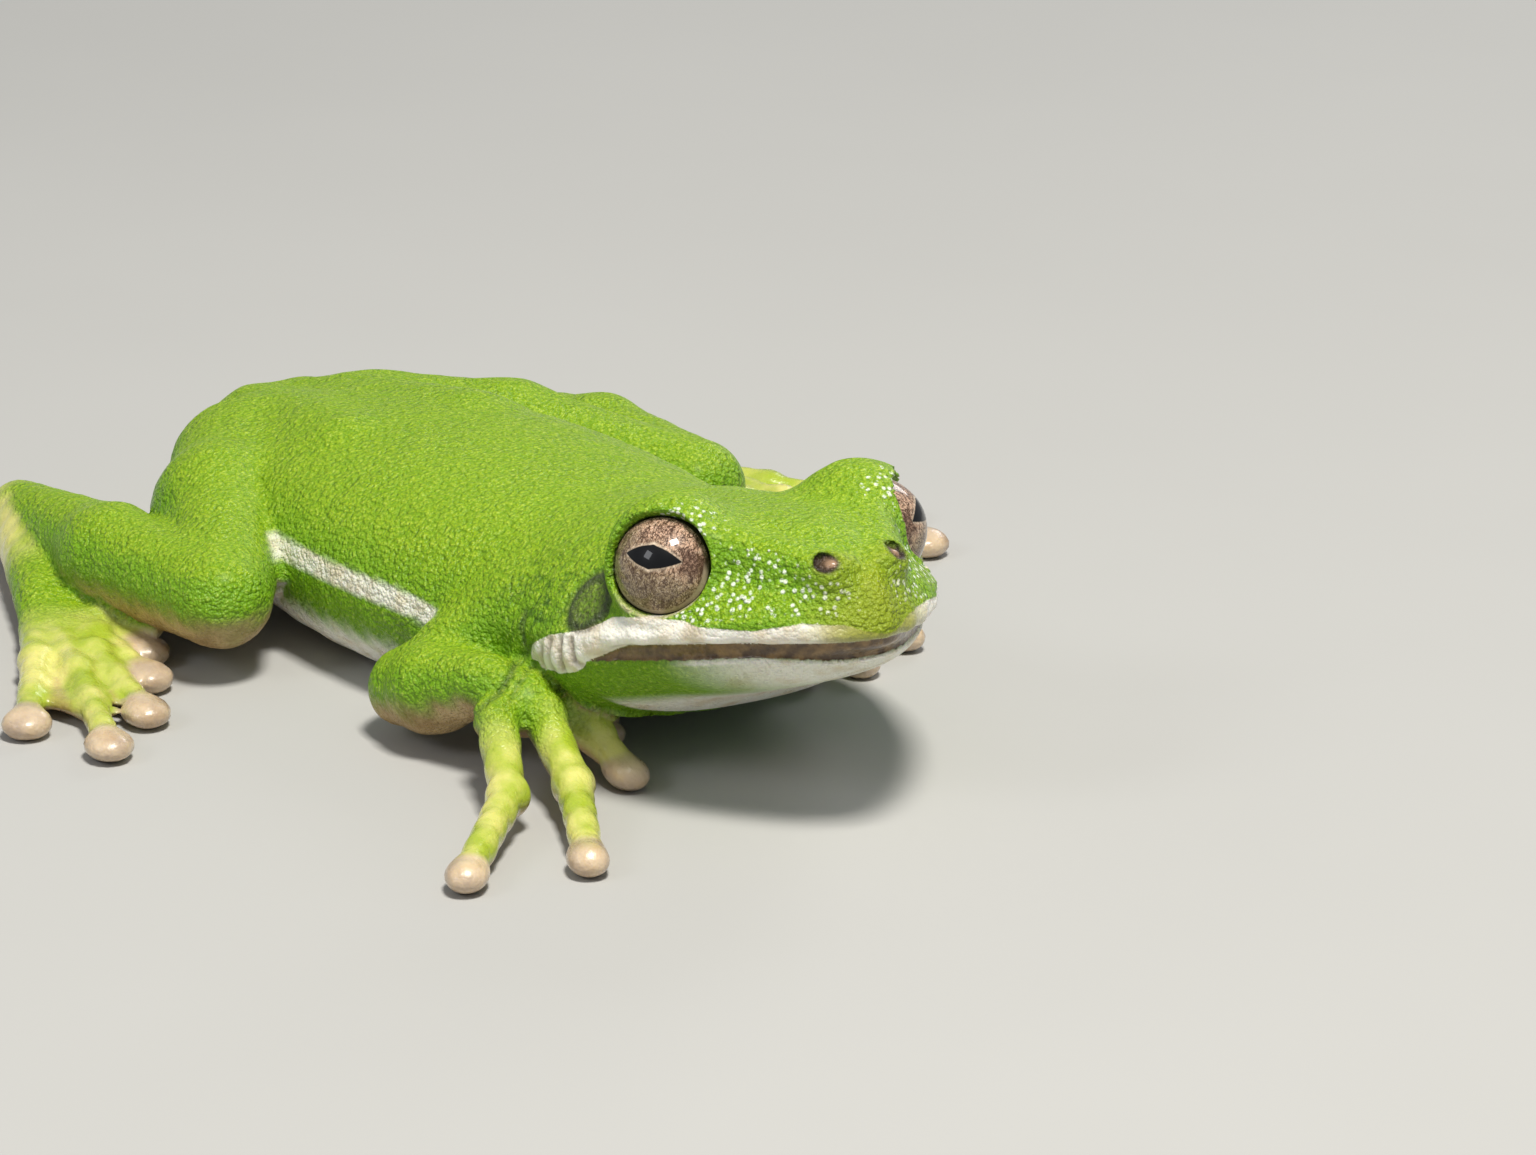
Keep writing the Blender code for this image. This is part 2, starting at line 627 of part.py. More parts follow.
def make_eye(name, side, finishes):
    """The front of an eyeball, which stands proud of its socket and looks out and a little forward."""
    mirror = np.array([1.0, side, 1.0])
    axes = HEAD_AXES @ (mirror[:, None] * EYE_DOME.axes[:, [1, 2, 0]])
    axes[:, 0] *= np.sign(np.linalg.det(axes))
    where = Matrix.Translation(Vector(EYES_MIDDLE + HEAD_AXES @ (EYE_DOME.centre * mirror)))
    shape = Matrix(axes.tolist()).to_4x4() @ Matrix.Diagonal((*EYE_DOME.radii[[1, 2, 0]], 1.0))
    ball = bmesh.new()
    bmesh.ops.create_uvsphere(ball, u_segments=24, v_segments=12, radius=1.0, matrix=where @ shape)
    mesh = bpy.data.meshes.new(name)
    ball.to_mesh(mesh)
    ball.free()
    mesh.materials.append(finishes["bronze_eye"])
    eye = bpy.data.objects.new(name, mesh)
    FROG.objects.link(eye)
    return eye


def place(nodes):
    """Turns the posed frog onto the part's frame, with the origin under the middle of its box."""
    turn = Matrix.Rotation(-BODY_BEND, 4, "Z")
    for node in nodes:
        node.data.transform(turn)
    points = np.array([vert.co for node in nodes for vert in node.data.vertices])
    low, high = points.min(axis=0), points.max(axis=0)
    middle = Vector(((low[0] + high[0]) / 2.0, (low[1] + high[1]) / 2.0, low[2]))
    for node in nodes:
        node.data.transform(Matrix.Scale(MM, 4) @ Matrix.Translation(-middle))
        node.data.shade_smooth()


for stale in list(bpy.data.objects):
    bpy.data.objects.remove(stale, do_unlink=True)
FROG = bpy.data.collections.new("green_tree_frog")
bpy.context.scene.collection.children.link(FROG)
FINISHES = {
    "leaf_green_skin": finish_of("leaf_green_skin", (0.26, 0.46, 0.02), 0.42),
    "cream_skin": finish_of("cream_skin", (0.66, 0.60, 0.42), 0.45),
    "toe_skin": finish_of("toe_skin", (0.50, 0.38, 0.10), 0.32),
    "bronze_eye": finish_of("bronze_eye", (0.24, 0.17, 0.12), 0.10),
}
FLESH = [make_flesh(name, FINISHES) for name in NODES]
EYES = [make_eye("eye_left", 1.0, FINISHES), make_eye("eye_right", -1.0, FINISHES)]
place(FLESH + EYES)
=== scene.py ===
import math

import bmesh
import bpy
import numpy as np
from mathutils import Matrix, Vector


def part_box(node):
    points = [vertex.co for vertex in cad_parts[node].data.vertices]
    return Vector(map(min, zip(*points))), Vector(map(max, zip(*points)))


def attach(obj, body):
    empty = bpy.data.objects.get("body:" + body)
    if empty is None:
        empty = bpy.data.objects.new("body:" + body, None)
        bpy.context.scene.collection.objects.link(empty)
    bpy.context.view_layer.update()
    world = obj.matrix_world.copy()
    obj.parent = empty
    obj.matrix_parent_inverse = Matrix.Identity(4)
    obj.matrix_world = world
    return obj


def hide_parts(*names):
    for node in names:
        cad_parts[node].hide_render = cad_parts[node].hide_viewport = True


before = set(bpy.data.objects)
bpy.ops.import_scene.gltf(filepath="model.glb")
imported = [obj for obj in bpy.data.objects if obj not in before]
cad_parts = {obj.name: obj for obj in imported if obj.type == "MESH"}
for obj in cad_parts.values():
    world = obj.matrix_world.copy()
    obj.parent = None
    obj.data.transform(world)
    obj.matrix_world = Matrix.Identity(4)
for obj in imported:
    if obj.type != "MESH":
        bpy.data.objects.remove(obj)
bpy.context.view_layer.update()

# Head
# The skull is wrapped in moist, granular skin, with the eyes in raised orbits and the eardrums behind them.
# It is told in millimetres from between the eyes, x forward, y left and z up, and pitched up at the snout.
HEAD_PITCH, HEAD_ROLL = math.radians(14.0), math.radians(1.5)
EYES_MIDDLE = np.array([0.0, 0.0, 9.4])
SNOUT_REACH, HEAD_HALF_WIDTH, WIDEST_AT, NECK_AT, CROWN = 8.1, 7.75, -5.6, -11.0, 1.9
CHEEK_LEAN, THROAT_AT, CHIN_RISE, HEAD_POWER = 0.30, -6.5, 1.6, 2.5
MOUTH_CORNER, LIP_AT, CORNER_DROP, LIP_DROP, LIP_OVERHANG = -2.7, -2.76, 0.65, 0.3, 0.42
GAPE_FOOT, GAPE_DROP = -3.45, 0.6
EYE_AT = np.array([0.0, 4.4, -0.08])
EYE_RADIUS, EYE_OPENING, LID_THICKNESS = 2.30, 1.90, 0.38
OPENING_AHEAD, OPENING_LONG = 0.14, 1.10
EYE_FACING, EYE_LIFT = math.radians(55.0), math.radians(12.0)
EYE_AXIS = np.array([math.cos(EYE_FACING), math.sin(EYE_FACING), math.tan(EYE_LIFT)]) * math.cos(EYE_LIFT)
EYE_FORWARD = np.array([math.sin(EYE_FACING), -math.cos(EYE_FACING), 0.0])
HEAD_AXES = np.array(Matrix.Rotation(-HEAD_PITCH, 3, "Y") @ Matrix.Rotation(-HEAD_ROLL, 3, "X"))
EARDRUM_AT, EARDRUM_STRETCH = np.array([-2.75, 6.5, -1.25]), np.array([0.88, 0.55, 0.95])
STEP = 0.03


def smooth_min(a, b, blend):
    """The nearer of two distances, rounded over where they come within blend of each other."""
    mix = np.clip(0.5 + 0.5 * (b - a) / blend, 0.0, 1.0)
    return b + (a - b) * mix - blend * mix * (1.0 - mix)


def smooth_max(a, b, blend):
    return -smooth_min(-a, -b, blend)


def ease(value, low, high):
    """0 below low, 1 above high and smooth between."""
    t = np.clip((value - low) / (high - low), 0.0, 1.0)
    return t * t * (3.0 - 2.0 * t)


def swell(points, centre, reach, height):
    """A soft rise of the skin, or a dent where height is negative."""
    return height * np.exp(-(((points - np.array(centre)) / np.array(reach)) ** 2).sum(axis=1))


def measured(distance, points):
    """A rough distance made true near its surface, so that it can be blended and offset in millimetres."""
    value = distance(points)
    slope = np.stack([(distance(points + axis) - value) / STEP for axis in np.eye(3) * STEP], axis=1)
    return value / np.maximum(np.linalg.norm(slope, axis=1), 0.3)


class Rod:
    """A round length of limb that tapers from one joint to the next."""

    def __init__(self, start, end, start_radius, end_radius):
        self.start, self.end = np.array(start, float), np.array(end, float)
        self.radii = (start_radius, end_radius)

    def distance(self, points):
        along = self.end - self.start
        t = np.clip((points - self.start) @ along / (along @ along), 0.0, 1.0)
        thick = self.radii[0] + t * (self.radii[1] - self.radii[0])
        return np.linalg.norm(points - self.start - t[:, None] * along, axis=1) - thick

    def box(self):
        reach = np.array(self.radii)[:, None]
        ends = np.stack([self.start, self.end])
        return (ends - reach).min(axis=0), (ends + reach).max(axis=0)


class Egg:
    """An ellipsoid, such as a toe pad or a muscle, with its first axis along a heading."""

    def __init__(self, centre, radii, heading=(1.0, 0.0, 0.0)):
        self.centre, self.radii = np.array(centre, float), np.array(radii, float)
        ahead = np.array(heading, float) / np.linalg.norm(heading)
        left = np.cross([0.0, 0.0, 1.0], ahead)
        left /= np.linalg.norm(left)
        self.axes = np.stack([ahead, left, np.cross(ahead, left)], axis=1)

    def distance(self, points):
        local = (points - self.centre) @ self.axes
        near = np.linalg.norm(local / self.radii, axis=1)
        steep = np.linalg.norm(local / self.radii**2, axis=1)
        return near * (near - 1.0) / np.maximum(steep, 1e-6)

    def box(self):
        return self.centre - self.radii.max(), self.centre + self.radii.max()


def to_head(points):
    """Points in the head's frame, folded onto its left half because the head is the same on both sides."""
    local = (points - EYES_MIDDLE) @ HEAD_AXES
    return np.stack([local[:, 0], np.abs(local[:, 1]), local[:, 2]], axis=1)


def lip_height(x):
    """The line of the mouth, level along the cheek and a little lower at its corner and at the snout."""
    return LIP_AT - CORNER_DROP * ease(-x, 0.4, 2.8) - LIP_DROP * ease(x, 3.0, 8.0)


def gape_foot(x):
    """The lower edge of the recess under the lip, which is painted dark brown as its shade."""
    return GAPE_FOOT - GAPE_DROP * ease(x, 4.0, 8.0)


def rough_head(local):
    """The head before its eyes and mouth: rounded sections that narrow to the snout and into the neck."""
    x, y, z = local.T
    t = np.clip((x - WIDEST_AT) / (SNOUT_REACH - WIDEST_AT), 0.0, 0.9999)
    behind = np.clip((WIDEST_AT - x) / 3.5, 0.0, 1.5)
    half = HEAD_HALF_WIDTH * (1.0 - t**2.0) ** 0.68 * (1.0 - 0.10 * behind**2)
    waist = LIP_AT + 0.35 + 0.4 * ease(x, 0.0, 4.0) - 0.9 * ease(x, 5.0, 8.3)
    crown = CROWN - 1.15 * (np.clip(x + 1.0, 0.0, 9.0) / 7.0) ** 2 - 0.6 * behind**2
    throat = THROAT_AT + CHIN_RISE * np.clip((x + 6.0) / 13.0, 0.0, 1.0) ** 1.4
    height = np.where(z > waist, crown - waist, waist - throat) * np.sqrt(1.0 - t**8)
    rise = (z - waist) / height
    width = half * (1.0 - CHEEK_LEAN * (1.0 + 0.9 * ease(x, 1.0, 6.0)) * np.clip(rise, 0.0, 1.0))
    ratio = np.maximum((y / width) ** HEAD_POWER + np.abs(rise) ** HEAD_POWER, 1e-9) ** (1.0 / HEAD_POWER)
    reach = np.hypot(y, z - waist)
    rough = smooth_max(reach * (1.0 - 1.0 / ratio), x - SNOUT_REACH, 0.5)
    return np.maximum(rough, NECK_AT - x)


ORBIT = Egg((-0.15, 4.05, 0.5), (2.75, 2.4, 2.3))
SNOUT_RIDGE = Rod((2.4, 3.2, 0.5), (6.4, 1.3, -0.4), 0.85, 0.65)


def from_eye(local):
    """How far out along the eye's axis a point is, how far beside it, and how far from the eye's middle."""
    offset = local - EYE_AT
    out, ball = offset @ EYE_AXIS, np.linalg.norm(offset, axis=1)
    return out, np.sqrt(np.maximum(ball**2 - out**2, 0.0)), ball


def eyelids(local, skin):
    """Skin drawn over the eyeball, with a round opening, a soft rim and a fold a little way outside it."""
    out, beside, ball = from_eye(local)
    skin = smooth_min(skin, ball - EYE_RADIUS - LID_THICKNESS, 0.6)
    rim = math.sqrt(EYE_RADIUS**2 - EYE_OPENING**2)
    along = (local - EYE_AT) @ EYE_FORWARD
    wide = np.sqrt(np.maximum(beside**2 - along**2, 0.0) + ((along - OPENING_AHEAD) / OPENING_LONG) ** 2)
    fold = np.exp(-(((beside - EYE_OPENING - 0.62) / 0.13) ** 2)) * ease(out, 0.0, 0.9)
    behind = ease(-local[:, 0], 0.4, 1.8) + 0.35 * ease(-local[:, 2], 0.2, 1.2)
    skin = skin + 0.12 * fold * np.clip(behind, 0.0, 1.0)
    opening = smooth_max(wide - EYE_OPENING - 0.3 * (out - rim), rim - 0.75 - out, 0.2)
    return smooth_max(skin, -opening, 0.12)


def furrows(a, b, wave):
    """Rounded wrinkles a wave apart along a, each a little crooked along b."""
    bent = a + 0.22 * wave * np.sin(2.3 * b / wave) + 0.12 * wave * np.sin(5.1 * b / wave + a)
    return 0.5 + 0.5 * np.cos(2.0 * math.pi * bent / wave)


def eardrum_distance(local):
    return np.linalg.norm((local - EARDRUM_AT) * EARDRUM_STRETCH, axis=1)


NOSTRIL_AT, NOSTRIL_DEPTH, FLAP_HEIGHT = np.array([6.7, 1.58, -0.03]), 0.42, 0.26
NOSTRIL_MOUND = ((*NOSTRIL_AT[:2], 0.05), (0.75, 0.75, 0.6), 0.10)
SNOUT_CORNER = ((6.6, 1.7, -0.2), (0.9, 0.7, 0.6), 0.08)
SNOUT_HOLLOW = ((4.0, 4.3, -1.0), (2.0, 1.1, 1.0), 0.10)
CROWN_HOLLOW = ((0.5, 0.0, 1.9), (3.0, 1.6, 1.0), 0.15)
LIP_END = ((-4.3, 7.4, -3.3), (1.3, 1.6, 0.75), 0.26)
NECK_SKIN, NECK_FURROWS = ((-7.3, 6.6, -1.4), (1.5, 3.0, 2.2), 1.0), 0.06
CHEEK_FOLDS = (
    ((-3.10, -2.60), (-3.08, -3.38), 0.14, 0.34),
    ((-3.08, -3.38), (-2.70, -3.62), 0.12, 0.20),
    ((-3.62, -2.55), (-3.95, -3.90), 0.13, 0.24),
    ((-4.30, -2.65), (-4.75, -3.95), 0.14, 0.20),
    ((-5.05, -2.95), (-5.35, -3.80), 0.14, 0.15),
    ((-6.90, -1.80), (-6.60, -2.90), 0.20, 0.20),
)


def nostril(local):
    """How far inside the nostril's opening a point is, from 0 to 1, and how far on the flap of skin in it."""
    beside, above = local[:, 1] - NOSTRIL_AT[1], local[:, 2] - NOSTRIL_AT[2]
    long, short = 0.5 * above - 0.86 * beside, 0.86 * above + 0.5 * beside
    near = ease(local[:, 0], 4.6, 5.4)
    pit = near * np.exp(-(((long / 0.42) ** 2 + (short / 0.30) ** 2) ** 2))
    flap = near * np.exp(-((((long - 0.10) / 0.22) ** 2 + ((short + 0.10) / 0.13) ** 2) ** 2))
    return pit, flap


def fold_depth(local):
    """The depth of the folds at the corner of the mouth and in front of the shoulder."""
    depth = np.zeros(len(local))
    side = local[:, [0, 2]]
    for start, end, width, deep in CHEEK_FOLDS:
        along = np.array(end) - start
        t = np.clip((side - start) @ along / (along @ along), 0.0, 1.0)
        near = np.linalg.norm(side - start - t[:, None] * along, axis=1)
        depth = np.maximum(depth, deep * np.exp(-((near / width) ** 2)))
    return depth * ease(local[:, 1], 4.5, 6.0)


def upper_head(local, full):
    """Skull, snout, orbits, lids, lips, nostrils and eardrums: the head above the mouth and behind it."""
    x, _, z = local.T
    skin = smooth_min(full, ORBIT.distance(local), 1.1)
    skin = smooth_min(skin, SNOUT_RIDGE.distance(local), 0.9)
    skin = skin + swell(local, *SNOUT_HOLLOW)
    skin = eyelids(local, skin)
    skin = skin + swell(local, *CROWN_HOLLOW)
    skin = skin - swell(local, *SNOUT_CORNER)
    pit, flap = nostril(local)
    skin = skin - swell(local, *NOSTRIL_MOUND) + NOSTRIL_DEPTH * pit - FLAP_HEIGHT * flap
    drum = eardrum_distance(local)
    skin = skin + 0.14 * np.exp(-(((drum - 1.15) / 0.15) ** 2)) + 0.10 * (1.0 - ease(drum, 0.6, 1.0))
    neck = swell(local, *NECK_SKIN) * ease(drum, 1.2, 1.7)
    skin = skin + NECK_FURROWS * neck * furrows(x + 0.35 * z, z + 0.5 * x, 1.15)
    skin = skin - swell(local, *LIP_END) + fold_depth(local)
    underside = lip_height(x) - z
    behind_mouth = x - MOUTH_CORNER
    return smooth_max(skin, smooth_min(underside, behind_mouth, 0.8), 0.35)


def lower_jaw(local, full):
    """The jaw and throat, set in under the lip, with a rim of its own below the line of the mouth."""
    x, _, z = local.T
    below = lip_height(x) - z
    skin = full + LIP_OVERHANG * ease(x, MOUTH_CORNER - 0.4, MOUTH_CORNER + 2.0)
    skin = skin + 0.22 * ease(z, gape_foot(x) - 0.12, gape_foot(x) + 0.12) * ease(x, MOUTH_CORNER, -1.0)
    skin = smooth_max(skin, -below - 0.15, 0.3)
    return smooth_max(skin, MOUTH_CORNER - 0.5 - x, 0.3)


# Trunk
# The body lies flat and low behind the head, widest at the ribs and narrow at the vent, under soft skin.
# It is shaped by stations along x, and the two ridges of the hips show through the skin of the back.
BODY_BEND = math.radians(4.0)
TRUNK_X = (-41.0, -38.0, -33.5, -28.0, -21.0, -14.0, -8.0, -4.0)
TRUNK_HALF_WIDTH = (3.6, 4.6, 6.1, 7.7, 8.6, 8.2, 6.9, 5.8)
TRUNK_BACK = (4.7, 5.7, 6.9, 7.9, 8.5, 8.7, 8.7, 8.4)
TRUNK_BELLY = (1.6, 1.0, 0.1, -0.5, -0.7, -0.3, 0.9, 2.8)
TRUNK_WAIST, RUMP_FROM = 3.7, -28.0
HIP_RIDGES = [Rod((-25.5, y, 7.0), (-37.0, 0.35 * y - 1.7, 5.2), 0.95, 0.75) for y in (1.5, -4.9)]


def station_curve(x, heights):
    """A smooth curve through the trunk's stations."""
    places, values = np.array(TRUNK_X), np.array(heights, float)
    slopes = np.gradient(values, places)
    i = np.clip(np.searchsorted(places, x) - 1, 0, len(places) - 2)
    width = places[i + 1] - places[i]
    t = np.clip((x - places[i]) / width, 0.0, 1.0)
    start = (1.0 + 2.0 * t) * (1.0 - t) ** 2 * values[i] + t * (1.0 - t) ** 2 * width * slopes[i]
    return start + t * t * (3.0 - 2.0 * t) * values[i + 1] + t * t * (t - 1.0) * width * slopes[i + 1]


def trunk_form(points):
    """The trunk's skin from its stations, closed behind the vent and carried into the head in front."""
    x = points[:, 0]
    half, back, belly = (
        station_curve(x, heights) for heights in (TRUNK_HALF_WIDTH, TRUNK_BACK, TRUNK_BELLY)
    )
    past = np.clip((RUMP_FROM - x) / (RUMP_FROM - TRUNK_X[0]), 0.0, 1.0)
    closing = np.sqrt(np.maximum(1.0 - past**4, 1e-4))
    above = points[:, 2] > TRUNK_WAIST
    height = np.where(above, back - TRUNK_WAIST, TRUNK_WAIST - belly) * closing
    power = np.where(above, 2.15, 2.4)
    side = np.abs(points[:, 1] - x * math.tan(BODY_BEND))
    rise = np.abs(points[:, 2] - TRUNK_WAIST)
    ratio = ((side / (half * closing)) ** power + (rise / height) ** power) ** (1.0 / power)
    reach = np.hypot(side, rise)
    rough = reach * (1.0 - 1.0 / np.maximum(ratio, 1e-6))
    return np.maximum(np.maximum(rough, x - TRUNK_X[-1]), TRUNK_X[0] - x)


# Arms and hands
# Each arm is an upper arm, a forearm and a hand with four fingers that end in round, flattened pads.
# The right hand reaches out ahead of the frog with its fingers spread. The left is tucked back by the chest.
JOINT_PULL = 0.6
FINGER_PAD = np.array([0.98, 0.83, 0.60])


def nearest_of(forms, points, blend):
    """One limb length made of several forms, blended where they meet."""
    distance = forms[0].distance(points)
    for form in forms[1:]:
        distance = smooth_min(distance, form.distance(points), blend)
    return distance


def muscle(start, middle, end, radii, pull_start=0.0):
    """Two tapering rods through a limb's joints, with each end pulled in from the joint it shares."""
    start, middle, end = (np.array(point, float) for point in (start, middle, end))
    start = start + pull_start * (middle - start) / np.linalg.norm(middle - start)
    end = end + JOINT_PULL * (middle - end) / np.linalg.norm(middle - end)
    return [Rod(start, middle, radii[0], radii[1]), Rod(middle, end, radii[1], radii[2])]


def digit(root, knuckle, tip, root_radius, tip_radius, pad):
    """A finger or toe: two lengths with a swollen knuckle, and a flattened pad at the tip."""
    root, knuckle, tip = (np.array(point, float) for point in (root, knuckle, tip))
    middle = 0.5 * (root_radius + tip_radius)
    disc = Egg(tip, pad, (tip - knuckle) * np.array([1.0, 1.0, 0.25]))
    PADS.append(disc)
    return [
        Rod(root, knuckle, root_radius, middle),
        Rod(knuckle, tip, middle, tip_radius),
        Egg(knuckle, (middle * 1.12, middle * 1.07, middle * 1.07), knuckle - root),
        disc,
    ]


def arm(side, shoulder, elbow, wrist, knuckles, digits):
    """Upper arm, forearm and hand. Knuckles are where the digits leave the hand."""
    crook = np.array(elbow) * 0.45 + np.array(shoulder) * 0.55
    belly = np.array(elbow) * 0.62 + np.array(wrist) * 0.38
    palm = np.mean(knuckles, axis=0) * 0.6 + np.array(wrist) * 0.4
    heel = np.array(wrist) + JOINT_PULL * (palm - wrist) / np.linalg.norm(palm - wrist)
    hand = [Rod(heel, palm, 1.15, 1.25)]
    hand += [Rod(palm, knuckle, 1.15, 0.88) for knuckle in knuckles]
    for knuckle, (bend, tip) in zip(knuckles, digits):
        hand += digit(knuckle, bend, tip, 0.82, 0.58, FINGER_PAD)
    return {
        f"upper_arm_{side}": muscle(shoulder, crook, elbow, (2.0, 1.8, 1.45)),
        f"forearm_{side}": muscle(elbow, belly, wrist, (1.45, 1.75, 1.25), JOINT_PULL),
        f"hand_{side}": hand,
    }


def pad_creases(points):
    """Shallow folds across each finger and toe where its pad begins."""
    depth = np.zeros(len(points))
    for disc in PADS:
        local = (points - disc.centre) @ disc.axes
        depth += swell(local, (-1.05 * disc.radii[0], 0.0, 0.0), (0.14, 1.3, 1.3), 0.06)
    return depth


def wrist_creases(points):
    """Two folds across the back of each wrist, where the hand is bent up."""
    depth = np.zeros(len(points))
    for wrist, way in zip(WRISTS, WRIST_WAYS):
        along = (points - wrist) @ way + 0.12 * np.sin(2.1 * points[:, 1])
        near = np.exp(-((np.linalg.norm(points - wrist, axis=1) / 2.4) ** 4))
        first = 0.16 * np.exp(-(((along - 0.30) / 0.15) ** 2))
        second = 0.10 * np.exp(-(((along - 0.85) / 0.13) ** 2))
        depth += near * (first + second)
    return depth


PADS = []
WRIST_WAYS = np.array([(0.62, 0.55, -0.56), (0.87, -0.40, -0.29)])
SHOULDERS = ((-8.8, -5.8, 4.8), (-8.8, 5.8, 4.8))
WRISTS = np.array([(-5.6, -9.2, 3.8), (-12.6, 8.6, 2.0)])
ARMS = {
    **arm(
        "right",
        shoulder=SHOULDERS[0],
        elbow=(-11.6, -10.3, 1.8),
        wrist=WRISTS[0],
        knuckles=[(-5.0, -6.2, 2.1), (-4.3, -6.9, 2.6), (-3.6, -8.2, 2.9), (-4.1, -10.0, 3.0)],
        digits=[
            ((-5.5, -5.3, 1.3), (-5.8, -4.2, 0.58)),
            ((-3.3, -6.1, 1.8), (-1.6, -5.6, 0.64)),
            ((0.1, -9.0, 1.4), (5.1, -11.3, 0.60)),
            ((-0.3, -11.7, 1.4), (4.1, -16.0, 0.60)),
        ],
    ),
    **arm(
        "left",
        shoulder=SHOULDERS[1],
        elbow=(-18.0, 10.3, 1.9),
        wrist=WRISTS[1],
        knuckles=[(-11.5, 6.7, 1.6), (-11.0, 7.5, 1.8), (-11.0, 8.6, 1.8), (-11.6, 9.6, 1.6)],
        digits=[
            ((-10.1, 5.5, 1.1), (-8.8, 4.3, 0.60)),
            ((-9.3, 6.9, 1.2), (-7.6, 6.2, 0.60)),
            ((-9.2, 8.9, 1.2), (-7.2, 8.8, 0.60)),
            ((-10.4, 10.8, 1.1), (-8.8, 11.9, 0.60)),
        ],
    ),
}

# Legs and feet
# The hind legs are folded beside the trunk: thigh, shank and a long foot with five toes, pads and thin webs.
# They are told from a pelvis that is turned with the rump, and the toes fan out flat on the floor.
PELVIS_AT = np.array([-34.0, -34.0 * math.tan(BODY_BEND), 0.0])
HIP = (0.5, 3.7, 4.1)
SOLE = (3.4, 15.1, 1.25)
TOE_PAD = np.array([1.10, 1.00, 0.60])
TOE_LENGTHS = (6.0, 8.5, 12.0, 15.0, 12.0)
TOE_FAN = (-14.0, 0.0, 10.0, 20.0, 33.0)


class Web:
    """A flat triangle of skin between two toes."""

    def __init__(self, root, first, second, half_thickness):
        self.corners = np.array([root, first, second], float)
        self.half = half_thickness

    def distance(self, points):
        nearest = np.full(len(points), np.inf)
        inside = np.ones(len(points), bool)
        normal = np.cross(self.corners[1] - self.corners[0], self.corners[2] - self.corners[0])
        normal /= np.linalg.norm(normal)
        for i in range(3):
            start, end = self.corners[i], self.corners[(i + 1) % 3]
            side = end - start
            t = np.clip((points - start) @ side / (side @ side), 0.0, 1.0)
            nearest = np.minimum(nearest, np.linalg.norm(points - start - t[:, None] * side, axis=1))
            inside &= (points - start) @ np.cross(normal, side) > 0.0
        flat = np.abs((points - self.corners[0]) @ normal)
        return np.where(inside, flat, nearest) - self.half

    def box(self):
        return self.corners.min(axis=0) - self.half, self.corners.max(axis=0) + self.half


def from_pelvis(side, forward, outward, height):
    """A point told from the pelvis, for the left leg with side 1 and the right leg with side -1."""
    ahead = np.array([math.cos(BODY_BEND), math.sin(BODY_BEND), 0.0])
    left = np.array([-math.sin(BODY_BEND), math.cos(BODY_BEND), 0.0])
    return PELVIS_AT + forward * ahead + outward * side * left + np.array([0.0, 0.0, height])


def leg(name, side):
    """Thigh, shank and foot of one hind leg."""
    hip = from_pelvis(side, *HIP)
    rump = from_pelvis(side, 5.0, 7.2, 4.0)
    knee = from_pelvis(side, 13.0, 12.0, 3.4)
    calf = from_pelvis(side, 4.5, 12.3, 3.0)
    ankle = from_pelvis(side, -6.0, 10.9, 1.8)
    sole = from_pelvis(side, *SOLE)
    heel = ankle + JOINT_PULL * (sole - ankle) / np.linalg.norm(sole - ankle)
    foot = [Rod(heel, sole, 1.25, 1.15)]
    webs = []
    for length, fan in zip(TOE_LENGTHS, TOE_FAN):
        turn = math.radians(fan)
        reach = np.array([length * math.cos(turn), length * math.sin(turn)])
        root = from_pelvis(side, SOLE[0] + 0.06 * reach[0], SOLE[1] + 0.10 * reach[1], 1.1)
        bend = from_pelvis(side, SOLE[0] + 0.52 * reach[0], SOLE[1] + 0.50 * reach[1], 0.95)
        tip = from_pelvis(side, SOLE[0] + reach[0], SOLE[1] + reach[1], 0.55)
        foot += digit(root, bend, tip, 0.78, 0.52, TOE_PAD)
        webs.append((bend * 0.45 + tip * 0.55) * np.array([1.0, 1.0, 0.9]))
    instep = sole * np.array([1.0, 1.0, 0.6])
    for first, second in zip(webs, webs[1:]):
        foot.append(Web(instep, first, second, 0.27))
    return {
        f"thigh_{name}": muscle(hip, rump, knee, (2.7, 2.9, 1.9)),
        f"shank_{name}": muscle(knee, calf, ankle, (1.9, 2.15, 1.35), JOINT_PULL),
        f"foot_{name}": foot,
    }


LEGS = {**leg("right", -1), **leg("left", 1)}

# Skin
# One unbroken skin goes over the head, trunk and limbs, as on the animal. It stands for every flesh node.
# A lump is grown inside the forms, made even, and each of its points is then drawn onto the skin's surface.
SKIN_CELL, SKIN_VOXEL = ((0.4, 0.25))
LIMBS = {**ARMS, **LEGS}
LIMB_ROOTS = (
    (("upper_arm_right", "forearm_right", "hand_right"), np.array(SHOULDERS[0]), 3.5),
    (("upper_arm_left", "forearm_left", "hand_left"), np.array(SHOULDERS[1]), 3.5),
    (("thigh_right", "shank_right", "foot_right"), from_pelvis(-1, *HIP), 5.5),
    (("thigh_left", "shank_left", "foot_left"), from_pelvis(1, *HIP), 5.5),
)
FAR, FLOOR_FLAT, UNEVEN_DEPTH = 50.0, 0.02, 0.022


def box_of(forms):
    """The lowest and highest corners of a set of forms."""
    boxes = [form.box() for form in forms]
    return np.min([low for low, _ in boxes], axis=0), np.max([high for _, high in boxes], axis=0)


BOXES = {name: box_of(forms) for name, forms in LIMBS.items()}


